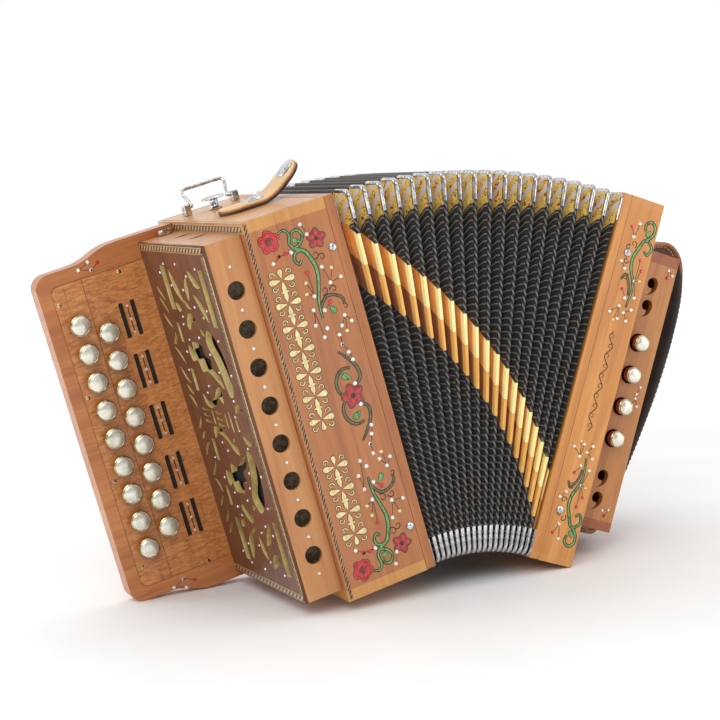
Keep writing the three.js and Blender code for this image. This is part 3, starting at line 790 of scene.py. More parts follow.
def bead_look():
    look = Look("ridge_bead", Roughness=0.55, Coat_Weight=0.05, Coat_Roughness=0.3)
    crest, band = look.attribute("crest"), look.attribute("band")
    fibre = look.noise(look.place(), 1400, 3)
    # painted highlight: the cord is lighter grey on the tops of its strands (crest near 1) and near black
    # between them
    rope = look.ramp(look.plus(crest, look.times(fibre, 0.35)), (0.35, srgb(22, 19, 17)),
                     (0.85, srgb(58, 53, 48)), (1.2, srgb(116, 110, 102)))
    inlay = stripe_colours(look, band, *STRIPE_LIP)
    look.set("Base Color", look.mix(in_stripe(look, band), rope, inlay))
    look.bump(fibre, 0.2, 0.0002)
    return look.material


PLEAT_VALUES = ("depth", "band", "thread", "front", "mitre", "high", "share")
RIDGE_HALF = 1.15  # half the width of a ridge, along a
RIB_TOPS = {i: {j / round(side_length(i) / RIB_PITCH) for j in range(round(side_length(i) / RIB_PITCH))}
            for i in range(4)}


def valley(gap, fine, coarse, material):
    """The pleat between two ridges: taped slope, bare valley, and the same back up."""
    shape = Shape()

    def strip(stops, levels, taped):
        rows, values = [], {key: [] for key in PLEAT_VALUES}
        for share, depth in levels:
            ring = outline(depth, stops)[0]
            matrix = np.array(station(gap + share))
            slant = gap + (max(0.0, 1 - depth / TAPE_DEPTH) if share > 0.5 else 0.0)
            row = []
            for stop, (b, c) in zip(stops, ring):
                mitre, band, high = mitre_distance(stop), stripe_band(c, slant), c > HEIGHT / 2
                covered = taped and not (high and mitre < BARE_CORNER)
                striped = on_front(stop) and abs(band) < STRIPE_HALF + 1
                ribbed = covered and not striped and stop[0] == SIDE and stop[2] in RIB_TOPS[stop[1]]
                lift = RIB_HEIGHT * ribbed + TAPE_LIFT * covered
                a = RIDGE_HALF * (1 - 2 * share) + (lift if share < 0.5 else -lift)
                row.append((matrix @ (a * MM, b * MM, c * MM, 1))[:3] / MM)
                found = (depth, band, ribbed, on_front(stop), mitre, high, share)
                for key, value in zip(PLEAT_VALUES, found):
                    values[key].append(float(value))
            rows.append(row)
        grids = {key: np.reshape(kept, (len(levels), -1)) for key, kept in values.items()}
        shape.sheet(rows, close_across=True, **grids)

    slope = 0.5 / FOLD_DEPTH
    tape = [0.7, 4.5, 9.0, TAPE_DEPTH]
    bare = [TAPE_DEPTH - 0.2, 15.2, FOLD_DEPTH - 0.4]
    down = [(depth * slope, depth) for depth in bare]
    up = [(1 - share, depth) for share, depth in down[::-1]]
    strip(fine, [(depth * slope, depth) for depth in tape], True)
    strip(coarse, down + up, False)
    strip(fine, [(1 - depth * slope, depth) for depth in tape[::-1]], True)
    made = shape.make(f"pleat_{gap + 1:02d}", Matrix.Identity(4), material, None, "bellows_cloth", 40.0)
    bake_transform(made)


def fold_body(i):
    if i == 0:
        return "treble_side"
    return "bass_side" if i > FOLDS else f"fold_{i:02d}"


BEAD = {"sides": 8, "radius": 1.25, "strand": 0.25, "twist": 10.4, "step": 1.2}  # twist: length of one turn


def ridge_bead(number, stops, material):
    """Twisted two-strand cord round a fold's edge, smooth wood where the inlaid stripe crosses it."""
    ring, outward = outline(1.0, stops)
    runs = run_lengths(ring)
    turns = round(runs[-1] / BEAD["twist"])
    rows, crest, band, front = [], [], [], []
    angles = full_turn(BEAD["sides"])
    for stop, (b, c), way, run in zip(stops, ring, outward, runs):
        across = stripe_band(c, number)
        striped = on_front(stop) and abs(across) < STRIPE_HALF
        lobes = np.cos(2 * (angles - math.tau * turns * run / (runs[-1] + BEAD["step"])))
        radius = BEAD["radius"] + BEAD["strand"] * (np.ones(BEAD["sides"]) if striped else lobes)
        rows.append([(r * math.sin(t), b + way[0] * r * math.cos(t), c + way[1] * r * math.cos(t))
                     for t, r in zip(angles, radius)])
        # crest: 1 on the tops of the strands, where bead_look paints a highlight
        crest.append(lobes * 0.5 + 0.5)
        band.append(np.full(BEAD["sides"], across))
        front.append(np.full(BEAD["sides"], float(on_front(stop))))
    shape = Shape()
    shape.sheet(rows, close_rows=True, close_across=True, crest=crest, band=band, front=front)
    shape.make(f"ridge_{number:02d}", station(number), material, fold_body(number), "bellows_cloth", 60.0,
               (f"fold_{number:02d}",))


CAP_HALF = [(0.64, -0.5), (1.17, -0.12), (1.52, 0.45), (1.65, 1.1), (1.6, 5.8)]  # (a, depth)
CAP_SECTION = [(-a, depth) for a, depth in reversed(CAP_HALF)] + [(0, -0.64)] + CAP_HALF
CAP_LEGS = {0: 17.0, 1: 15.0}  # along top and bottom, along front and rear


def corner_cap(shape, i, shift=0.0):
    """Bright U-shaped cap bent round corner i of a fold."""
    before, after = (i + 3) % 4, i
    stops = [(SIDE, before, 1 - t * CAP_LEGS[before % 2] / side_length(before)) for t in (1, 0.5, 0.02)]
    stops += [(CORNER, i, t) for t in np.linspace(0, 1, 9)]
    stops += [(SIDE, after, t * CAP_LEGS[after % 2] / side_length(after)) for t in (0.02, 0.5, 1)]
    rings = [(a, outline(depth, stops)[0]) for a, depth in CAP_SECTION]
    shape.bar([[(a + shift, *ring[k]) for a, ring in rings] for k in range(len(stops))])


def corner_caps(name, frame_here, body, shift=0.0):
    caps = Shape()
    for i in range(4):
        corner_cap(caps, i, shift)
    caps.make(name, frame_here, M["chrome"], body, "chrome_fittings")


def make_bellows():
    pleats, beads = pleat_look(), bead_look()
    fine = ring_stops(RIB_PITCH, (0.0, 0.13, 0.87), 4)
    coarse = ring_stops(22.0, (0.0,), 3)
    for gap in range(FOLDS + 1):
        valley(gap, fine, coarse, pleats)
    twist = ring_stops(1.25, (0.0,), 6)
    for number in range(1, FOLDS + 1):
        ridge_bead(number, twist, beads)
        corner_caps(f"corner_caps_{number:02d}", station(number), fold_body(number))
    corner_caps("treble_frame_caps", TREBLE, "treble_side", -0.4)
    corner_caps("bass_frame_caps", BASS, "bass_side", 0.4)


# ------------------------------------------------------------------ wooden parts
TREBLE_WOOD = (  # node, look, slot, rounding of its edges
    ("treble_case", "cherry", "cherry_wood", 1.6),
    ("treble_bellows_frame", "strip", "light_wood", 0.8),
    ("sound_box", "box", "cherry_wood", 1.6),
    ("fingerboard", "board", "cherry_wood", 1.6),
    ("fingerboard_outer_plate", "plate", "board_wood", 0.3),
    ("fingerboard_inner_plate", "plate", "board_wood", 0.3),
    ("treble_reed_block", "reed", "reed_wood", 0.6),
)
BASS_WOOD = (
    ("bass_case", "bass", "light_wood", 1.4),
    ("bass_bellows_frame", "bass", "light_wood", 0.8),
    ("bass_box", "bass_box", "light_wood", 1.6),
    ("bass_reed_block", "reed", "reed_wood", 0.6),
)


def make_cases():
    for node, look, slot, bevel in TREBLE_WOOD:
        refine(node, TREBLE, "treble_side", M[look], slot, bevel)
    for node, look, slot, bevel in BASS_WOOD:
        refine(node, BASS, "bass_side", M[look], slot, bevel)


def leaf_outline(x, y, length, width, angle, bend=0.0, count=9):
    """A pointed leaf: two arcs between its tips, curved by bend, turned by angle from upright."""
    t = np.linspace(0, 1, count)
    spine = np.stack([bend * 4 * t * (1 - t), (t - 0.5) * length], axis=1)
    half = width / 2 * np.sin(math.pi * t) ** 0.8
    right = spine + np.stack([half, np.zeros(count)], axis=1)
    left = spine - np.stack([half, np.zeros(count)], axis=1)
    both = np.vstack([right, left[-2:0:-1]])
    turn = math.radians(angle)
    spin = np.array([[math.cos(turn), -math.sin(turn)], [math.sin(turn), math.cos(turn)]])
    return both @ spin.T + (x, y)


def closed_curve(points, count=36):
    """A smooth closed outline: a curve twice as fine as count, less the ends where it meets itself."""
    points = np.asarray(points, float)
    wrapped = np.vstack([points[-2:], points, points[:2]])
    line = curve(wrapped, count * 2)
    share = np.linspace(0, len(wrapped) - 1, count * 2)
    return line[(share >= 2) & (share < 2 + len(points))]


# openings of the fretwork above its middle: (b, height above the middle) round each one
SCROLL_OPENINGS = (
    ((45, 68), (34, 62), (26.5, 48), (25, 32), (29, 22), (38, 20.5), (42, 34), (47, 46), (55, 57),
     (51, 65)),
    ((68, 55), (78, 57), (87, 57), (90, 51), (97, 54), (100, 49), (97, 42), (86, 43), (82, 35),
     (70, 36), (56, 30), (45, 25), (48, 33), (59, 39), (57, 46), (66, 48)),
    ((54, 25), (64, 23), (74, 16), (88, 12), (98, 17), (96, 9), (86, 7), (74, 10.5), (64, 17), (57, 13)),
    ((66, 74), (74, 72.5), (82, 66.5), (86, 70), (78, 78), (70, 79)),
)
LEAF_OPENINGS = (  # b, height above the middle, length, width, angle, bend
    (42.5, 105.5, 22, 8, -58, 2), (44.5, 84, 27, 7.5, -42, -2), (62.5, 97.5, 20, 7, 22, 1.5),
    (86, 99, 29, 8.5, -32, 2), (93.5, 83.5, 12, 6, -66, 1), (28, 10, 18, 5.5, 78, 2.5),
    (57, 66, 9, 3.4, -60, 1), (72, 86, 14, 3.6, -64, 1.5),
    (126, 92, 17, 3.0, -52, 0.6), (127, 82.5, 19, 3.0, -50, -0.6), (128, 71, 18, 3.2, -54, 1),
    (125, 58, 15, 4.0, 48, -2.4), (124, 44, 21, 3.2, -52, -1.4), (125, 29, 21, 3.2, -52, 1.4),
    (124, 18, 14, 3.0, -58, 0.8), (126, 8, 16, 3.6, -50, -2),
)
BAR_OPENINGS = (  # b, height above the middle, width, height
    (24, 92, 8.5, 41), (105.5, 97, 9.5, 33), (107.5, 63, 5, 15), (106.5, 27, 6, 17),
)
MIDDLE_SLITS = (  # b, width, height at the middle
    (40.5, 3, 12), (52, 3.4, 15), (61.5, 2.6, 11), (88.5, 2.6, 11),
)
MIDDLE_STACKS = (75, 103)  # b of the two stacks of three level slits


def box_outline(x, y, width, height):
    w, h = width / 2, height / 2
    return np.array([(x - w, y - h), (x + w, y - h), (x + w, y + h), (x - w, y + h)])


def fretwork_holes(middle):
    """Openings (b, c) of the fretwork, mirrored about its middle."""
    upper = [closed_curve(points) for points in SCROLL_OPENINGS]
    upper += [leaf_outline(*leaf) for leaf in LEAF_OPENINGS]
    upper += [box_outline(*bar) for bar in BAR_OPENINGS]
    holes = [half * (1, way) for half in upper for way in (1, -1)]
    holes += [box_outline(b, 0, width, height) for b, width, height in MIDDLE_SLITS]
    holes += [box_outline(b, rise, 12, 1.9) for b in MIDDLE_STACKS for rise in (-4.6, 0, 4.6)]
    return [hole + (0, middle) for hole in holes]


def cut_sheet(name, low, high, edge, holes, faces, walls, replaces=()):
    """A flat sheet between two levels of a, with openings whose walls show a second material."""
    data = bpy.data.curves.new(name, "CURVE")
    data.dimensions = "2D"
    data.fill_mode = "BOTH"
    data.extrude = (high - low) / 2 * MM
    for line in [edge] + holes:
        spline = data.splines.new("POLY")
        spline.points.add(len(line) - 1)
        for point, (x, y) in zip(spline.points, line):
            point.co = (x * MM, y * MM, 0, 1)
        spline.use_cyclic_u = True
    flat = bpy.data.objects.new(name + "_flat", data)
    bpy.context.scene.collection.objects.link(flat)
    mesh = bpy.data.meshes.new_from_object(flat.evaluated_get(bpy.context.evaluated_depsgraph_get()))
    bpy.data.objects.remove(flat)
    turn = Matrix(((0, 0, -1), (1, 0, 0), (0, 1, 0))).to_4x4()
    mesh.transform(Matrix.Translation((((low + high) / 2) * MM, 0, 0)) @ turn)
    mesh.materials.append(M[faces])
    mesh.materials.append(M[walls])
    border = np.array((edge.min(axis=0), edge.max(axis=0)))
    for face in mesh.polygons:
        middle = np.array((face.center.y, face.center.z)) / MM
        on_border = np.abs(middle - border).min() < 0.1
        face.material_index = 0 if abs(face.normal.x) > 0.5 or on_border else 1
    place(name, mesh, TREBLE, None, "treble_side", "grille_wood", 0, replaces)


GRILLE_GEMS = (  # b, height above the middle
    (32.5, 113), (73, 115.5), (100, 115), (56, 107), (71, 96.5), (95, 99), (33, 83), (57, 84.5),
    (94, 70), (91, 58.5), (67, 61.5), (27, 61.5), (21, 37), (45, 37.5), (104.5, 48.5), (78, 24.5),
    (85, 19), (32, 17.5), (39, 5), (53.5, 50), (44, 77.5), (113, 34), (113, 108), (90, 76),
)


def make_grille():
    """The cut plate, a pale core behind it that makes its edges look thick, and dark cloth behind both."""
    low, high = local_box("fretwork_grille", TREBLE)
    middle = ((low[1] + high[1]) / 2, (low[2] + high[2]) / 2)
    holes = fretwork_holes(middle[1])
    edge = box_outline(*middle, high[1] - low[1], high[2] - low[2])
    core = box_outline(*middle, high[1] - low[1] - 5, high[2] - low[2] - 14)
    cut_sheet("fretwork_plate", low[0], high[0], edge, holes, "grille", "straw", ("fretwork_grille",))
    cut_sheet("fretwork_core", high[0] - 0.1, high[0] + 2.6, core, holes, "straw", "straw")
    backing = Relief("outer", high[0] + 4.6)
    backing.ribbon([(middle[0], low[2] + 8), (middle[0], high[2] - 8)], high[1] - low[1] - 6, 0, 0)
    backing.make("grille_cloth", TREBLE, "treble_side", "black", "bellows_cloth", 0)
    gems = Relief("outer", low[0])
    for b, rise in GRILLE_GEMS:
        for way in (1, -1):
            gems.gem(b, middle[1] + way * rise, 0.95, 8, 0.8)
    gems.make("grille_crystals", TREBLE, "treble_side", "crystal", "chrome_fittings", 0)


def make_inlay_strips():
    """Purfling and rope inlay round the grille and along the treble case's edges."""
    case_low, case_high = local_box("treble_case", TREBLE)
    (face, front, foot), (_, rear, top) = local_box("fretwork_grille", TREBLE)
    end_inset, side_inset = 7.0, 1.0

    def strip(name, face_name, level, look, width, lift, *lines):
        relief = Relief(face_name, level)
        for start, end in lines:
            relief.ribbon(resample([start, end], 6.0), width, 0.0, lift)
        relief.make(name, TREBLE, "treble_side", look, "light_wood")

    def level_line(height, low, high):
        return (low, height), (high, height)

    def upright_line(across, low, high):
        return (across, low), (across, high)

    strip("case_purfling", "outer", case_low[0], "purfling", 5.4, 0.25,
          level_line(case_high[2] - 4.4, 2, DEPTH - 2))
    strip("grille_purfling", "outer", face, "purfling", 4.8, 0.25,
          level_line(top - 3.4, front + side_inset, rear - side_inset),
          level_line(foot + 3.4, front + side_inset, rear - side_inset))
    strip("case_rope_inlay", "front", case_low[1], "speckle", 2.3, 0.1,
          upright_line(case_low[0] + 2.4, 1.5, HEIGHT - 1.5))
    strip("grille_rope_inlay", "outer", face, "speckle", 4.2, 0.25,
          upright_line(front + 4.4, foot + end_inset, top - end_inset))
    strip("grille_edge_line", "outer", face, "straw", 0.9, 0.2,
          upright_line(front + 1.2, foot + end_inset, top - end_inset))


SOUND_HOLES = {"a": -83.4, "top": 232.0, "pitch": 27.5, "count": 8, "radius": 6.45, "depth": 3.3}
WIRE = {"pitch": 1.05, "radius": 0.16, "depth": 3.0, "over": 0.2}
TOP_SLOTS = {"a": -79, "b": (67, 101, 141), "length": 14.6, "width": 6}


def wire_mesh(wires, a, c, front):
    """Two layers of slanting wires across one round hole."""
    radius = SOUND_HOLES["radius"]
    for lean in (1, -1):
        way, across = np.array((1, lean)) / math.sqrt(2), np.array((-lean, 1)) / math.sqrt(2)
        level = front + WIRE["depth"] - WIRE["over"] * (lean > 0)
        for offset in np.arange(-radius + 0.5, radius, WIRE["pitch"]):
            reach = math.sqrt(radius ** 2 - offset ** 2)
            ends = [np.array((a, c)) + across * offset + way * reach * k for k in (-1, 1)]
            tube(wires, [(p[0], level, p[1]) for p in ends], WIRE["radius"], 4)


def make_sound_holes():
    box = local_box("sound_box", TREBLE)
    front = box[0][1]
    wires, floors, gems = Shape(), Relief("front", front + SOUND_HOLES["depth"]), Relief("front", front)
    a, top, pitch = (SOUND_HOLES[key] for key in ("a", "top", "pitch"))
    for i in range(SOUND_HOLES["count"]):
        c = top - i * pitch
        floors.blob(around(a, c, SOUND_HOLES["radius"], full_turn(28)), 0, 0)
        gems.gem(a, c - pitch / 2, 1.2)
        wire_mesh(wires, a, c, front)
    gems.gem(a, top + pitch / 2 + 3, 1.2)
    floors.make("sound_hole_felt", TREBLE, "treble_side", "black", "bellows_cloth", 0)
    wires.make("sound_hole_mesh", TREBLE, M["steel"], "treble_side", "chrome_fittings", 0)
    gems.make("sound_box_crystals", TREBLE, "treble_side", "crystal", "chrome_fittings", 0)
    slots = Relief("top", box[1][2])
    for b in TOP_SLOTS["b"]:
        slot = leaf_outline(TOP_SLOTS["a"], b, TOP_SLOTS["length"], TOP_SLOTS["width"], 90, 0, 13)
        slots.blob(slot, 0, 0.02)
    slots.make("top_slot_felt", TREBLE, "treble_side", "black", "bellows_cloth", 0)


# ------------------------------------------------------------------ buttons and small fittings
CAP_HEIGHT = 4.0  # of the profiles below: (share of the cap's radius, height)
CAP_BODY = [(0.93, 0), (1.0, 0.5), (1.0, 1.5), (0.985, 2.1), (0.9, 2.5), (0.86, 2.35)]
CAP_DOME = [(0.87, 2.3), (0.84, 2.75), (0.72, 3.25), (0.5, 3.7), (0.26, 3.94), (0.0, 4.0)]
COLLAR = [(0.3, -3.4), (0.88, -3.4), (0.94, -3.0), (0.94, 0.05), (0.3, 0.05)]
STEM_SHARE = 0.33  # of the cap's radius
CAP_SIDES = 36


def button(node, side, facing=-1.0, dome="pearl", stem=11.0, height=CAP_HEIGHT, collar=None):
    """A domed cap set in a bright rim, on its stem, and on bass buttons a coloured collar under the rim."""
    low, high = local_box(node, side)
    radius = (high[0] - low[0]) / 2
    tip = low[1] if facing < 0 else high[1]
    centre = ((low[0] + high[0]) / 2, tip - facing * height, (low[2] + high[2]) / 2)

    def turned(profile, grow):
        shape = Shape()
        lathe(shape, centre, (0, facing, 0), [(r * radius, h * grow) for r, h in profile], CAP_SIDES)
        return shape

    grow = height / CAP_HEIGHT
    body = turned([(STEM_SHARE, -stem / grow), (STEM_SHARE, 0)] + CAP_BODY, grow)
    cap = turned(CAP_DOME, grow)
    if collar:
        turned(COLLAR, 1).make(node + "_collar", side, M[collar], node, "pearl", 35.0)
    body.make(node + "_rim", side, M["brass"], node, "chrome_fittings", 35.0, (node,))
    cap.make(node + "_cap", side, M[dome], node, "pearl", 60.0)


def make_buttons():
    for node in sorted(NODES):
        if node.startswith("treble_button"):
            button(node, TREBLE)
        elif node.startswith("bass_button"):
            button(node, BASS, dome="bass_dome", stem=17.0, collar="rose")
    button("air_button", BASS, 1.0, stem=14.0, height=3.0)


PALLET_SLOTS = {"a": (-125.2, -116.0), "c": (216.2, 177.1, 137.0, 97.2, 59.7), "width": 3.4, "length": 26}
SLOT_GEM_PITCH = 10


def make_pallet_slots():
    """Felt in the floors of the pairs of slots, and a line with three crystals between each pair."""
    front = local_box("fingerboard_inner_plate", TREBLE)[0][1]
    felt, line, gems = Relief("front", front + 1.5), Relief("front", front), Relief("front", front)
    middle = sum(PALLET_SLOTS["a"]) / 2
    for c in PALLET_SLOTS["c"]:
        for a in PALLET_SLOTS["a"]:
            felt.blob(box_outline(a, c, PALLET_SLOTS["width"], PALLET_SLOTS["length"]), 0, 0, 0.1)
        ends = [(middle, c - SLOT_GEM_PITCH), (middle, c + SLOT_GEM_PITCH)]
        line.ribbon(resample(ends, 2), 0.9, 0, 0.15)
        for step in (-SLOT_GEM_PITCH, 0, SLOT_GEM_PITCH):
            gems.gem(middle, c + step, 1.15)
    felt.make("pallet_slot_felt", TREBLE, "treble_side", "black", "bellows_cloth", 0)
    line.make("pallet_slot_lines", TREBLE, "treble_side", "dark", "board_wood")
    gems.make("pallet_slot_crystals", TREBLE, "treble_side", "crystal", "chrome_fittings", 0)


def screw(shape, point, axis, radius, height):
    profile = [(radius, -0.3), (radius, 0.2), (radius * 0.8, height * 0.8), (0.0, height)]
    lathe(shape, point, axis, profile, 18)


BAIL = {"centre": (-35.5, 150.0, 280.5), "foot": 14.5, "top": 17.5, "reach": 15.5, "lean": 32, "wire": 1.3}


def make_bail():
    """The bent wire loop for a shoulder strap: its two feet lie along a, in the brackets."""
    foot, top, reach, lean = BAIL["foot"], BAIL["top"], BAIL["reach"], math.radians(BAIL["lean"])
    a, b, c = BAIL["centre"]
    half = [(-foot - 8, 0), (-foot - 3, 0), (-foot, 0.8), (-foot - 0.5, 4), (-top + 0.4, 11),
            (-top + 0.8, 14.2), (-top + 3.5, reach)]
    flat = half + [(0, reach)] + [(-side, along) for side, along in reversed(half)]
    line = [(a + side, b + along * math.sin(lean), c + along * math.cos(lean)) for side, along in flat]
    bail = Shape()
    tube(bail, curve(line, 90), BAIL["wire"], 14)
    bail.make("bail_wire", TREBLE, M["chrome"], "strap_bail", "chrome_fittings", 60.0, ("strap_bail",))
    for node in ("bail_bracket_outer", "bail_bracket_inner"):
        refine(node, TREBLE, "treble_side", M["chrome"], "chrome_fittings", 0.9, 3.0)


def make_stud():
    """A flanged foot, a neck and a flat domed head."""
    low, high = local_box("strap_stud", TREBLE)
    radius, height = (high[0] - low[0]) / 2, high[2] - low[2]
    profile = [(5, 0), (5, 0.8), (3.6, 1.4), (3.0, 2.4), (3.0, height - 3.2), (3.8, height - 2.6),
               (radius - 0.8, height - 2.3), (radius, height - 1.7), (radius - 0.5, height - 1.1),
               (radius * 0.7, height - 0.4), (0, height)]
    stud = Shape()
    lathe(stud, ((low[0] + high[0]) / 2, (low[1] + high[1]) / 2, low[2]), (0, 0, 1), profile, 40)
    stud.make("stud", TREBLE, M["chrome"], "treble_side", "chrome_fittings", 50.0, ("strap_stud",))


def make_slider():
    refine("register_slider", TREBLE, "register_slider", M["chrome"], "chrome_fittings", 0.8, 3.0)


# ------------------------------------------------------------------ straps
def stitches(shape, line, lift_way, pitch=3.2, radius=0.28):
    """A row of short raised threads along a line in space."""
    points = resample(line, pitch)
    for first, second in zip(points[:-1], points[1:]):
        start, end = first * 0.8 + second * 0.2, first * 0.2 + second * 0.8
        middle = (start + end) / 2 + np.asarray(lift_way) * 0.3
        tube(shape, [start, middle, end], radius, 5)


BELLOWS_STRAP_LINE = [(-56, 277.5), (-40, 277.5), (-25, 277.8), (-14, 281.5), (-3, 288.5), (8, 297)]
STRAP_HALF, STRAP_MIDDLE = 13.0, 75.0  # half its width, and its middle line's b
STRAP_LAYERS = (  # name, lowest and highest face from the middle of the thickness, look, growth in width
    ("bellows_strap_top", -0.6, 1.9, "leather", 0.0),
    ("bellows_strap_edge", -0.6, 0.9, "leather_edge", 0.25),
    ("bellows_strap_lining", -2.4, -0.5, "leather_dark", -0.1),
)
SNAP_PROFILE = [(8.0, -0.3), (8.0, 0.6), (7.4, 1.3), (6.4, 1.5), (5.8, 1.2), (5.2, 1.3), (3.6, 2.0),
                (1.8, 2.3), (0, 2.4)]
SNAP_STEPS = (15, 38)  # of the 44 steps along the strap


def make_bellows_strap():
    """Leather strap with rounded ends, an orange-brown edge and a dark underside."""
    line = curve(BELLOWS_STRAP_LINE, 44)
    normals = -side_normals(line)
    runs = run_lengths(line)
    ends = np.minimum(runs, runs[-1] - runs)
    widths = STRAP_HALF * np.sqrt(1 - (1 - np.clip(ends / STRAP_HALF, 0.03, 1)) ** 2)
    for name, low, high, look, grow in STRAP_LAYERS:
        section = [(-1, low), (-1, high - 0.5), (-0.93, high), (0, high + 0.1), (0.93, high),
                   (1, high - 0.5), (1, low), (0.9, low - 0.1), (-0.9, low - 0.1)]
        shape = Shape()
        shape.bar([[(a + na * h, STRAP_MIDDLE + max(wide + grow, 0.3) * k, c + nc * h) for k, h in section]
                   for (a, c), (na, nc), wide in zip(line, normals, widths)])
        replaced = ("bellows_strap",) if name == "bellows_strap_top" else ()
        shape.make(name, TREBLE, M[look], "bellows_strap", "strap_leather", 40.0, replaced)
    snaps = Shape()
    for i in SNAP_STEPS:
        way = np.array((normals[i][0], 0, normals[i][1]))
        middle = np.array((line[i][0], STRAP_MIDDLE, line[i][1])) + way * 1.9
        lathe(snaps, middle, way, SNAP_PROFILE, 36)
    snaps.make("strap_snaps", TREBLE, M["chrome"], "bellows_strap", "chrome_fittings", 40.0)


def strap_section(width, thick, crown, power):
    """A rounded oblong (across, through); a low power makes it squarer, and crown thickens its middle."""
    section = []
    for angle in full_turn(40):
        x = math.copysign(abs(math.cos(angle)) ** power, math.cos(angle)) * width / 2
        h = math.copysign(abs(math.sin(angle)) ** power, math.sin(angle)) * (thick / 2)
        section.append((x, h * (1 + crown * (1 - (2 * x / width) ** 2))))
    return section


def strap_loft(line, middle, section, round_ends=False):
    """A section carried along a line in (a, c) about a middle b, closing at its ends if they are round."""
    rows = []
    for (a, c), (na, nc), t in zip(line, side_normals(line), np.linspace(0, 1, len(line))):
        closing = math.sqrt(max(1e-3, 1 - abs(2 * t - 1) ** 12)) if round_ends else 1.0
        rows.append([(a + na * h * closing, middle + x * (0.94 + 0.06 * closing), c + nc * h * closing)
                     for x, h in section])
    shape = Shape()
    shape.bar(rows)
    return shape


HAND_STRAP_LINE = [
    (44, 247.6), (60, 248.4), (73, 253.6), (85, 257.9), (95.6, 253), (102.4, 241.8), (107.3, 218),
    (108.5, 184), (106.4, 145), (101.6, 106), (94.4, 60.5), (90.5, 42), (85.4, 29.8), (79, 27.2),
    (60, 28.6)]
SLEEVED = slice(5, 11)  # the points of the line that the sleeve covers
HAND_STRAP_THICK, SLEEVE_THICK, SLEEVE_CROWN = 4.0, 10.0, 0.12


def make_hand_strap():
    low, high = local_box("hand_strap", BASS)
    line = curve(HAND_STRAP_LINE, 110)
    section = strap_section(high[1] - low[1], HAND_STRAP_THICK, 0, 0.35)
    leather = strap_loft(line, (low[1] + high[1]) / 2, section)
    leather.make("hand_strap_leather", BASS, M["strap_brown"], "bass_side", "strap_leather", 50.0,
                 ("hand_strap",))
    thread = Shape()
    outside = line + side_normals(line) * HAND_STRAP_THICK / 2
    for b in (low[1] + 4, high[1] - 4):
        stitches(thread, np.array([(a, b, c) for a, c in outside[6:-6]]), (0, 0, 0))
    thread.make("hand_strap_stitches", BASS, M["gold"], "bass_side", "strap_leather", 60.0)


def make_hand_strap_sleeve():
    """The padded cloth sleeve round the strap, stitched along both edges."""
    low, high = local_box("hand_strap_pad", BASS)
    line = curve([(a - 2.8, c) for a, c in HAND_STRAP_LINE[SLEEVED]], 60)
    section = strap_section(high[1] - low[1], SLEEVE_THICK, SLEEVE_CROWN, 0.55)
    sleeve = strap_loft(line, (low[1] + high[1]) / 2, section, True)
    pad = sleeve.make("hand_strap_sleeve", BASS, M["pad"], "bass_side", "pad_cloth", 50.0,
                      ("hand_strap_pad",))
    seam = Shape()
    for b in (low[1] + 5, high[1] - 5):
        stitches(seam, np.array([(a + 5.1, b, c) for a, c in line[5:-5]]), (1, 0, 0), 4.0, 0.3)
    seam.make("sleeve_stitches", BASS, M["dark"], "bass_side", "pad_cloth", 60.0)


def make_hand_strap_screws():
    screws = Shape()
    for b in (74, 110):
        screw(screws, (50, b, 249.9), (0, 0, 1), 3.2, 1.4)
        screw(screws, (66, b, 26.2), (0, 0, -1), 3.2, 1.4)
    screws.make("hand_strap_screws", BASS, M["chrome"], "bass_side", "chrome_fittings")


# ------------------------------------------------------------------ painted and inlaid ornament
STROKE_BORDER, CURL_BORDER = 0.7, 0.45
PETALS = 5


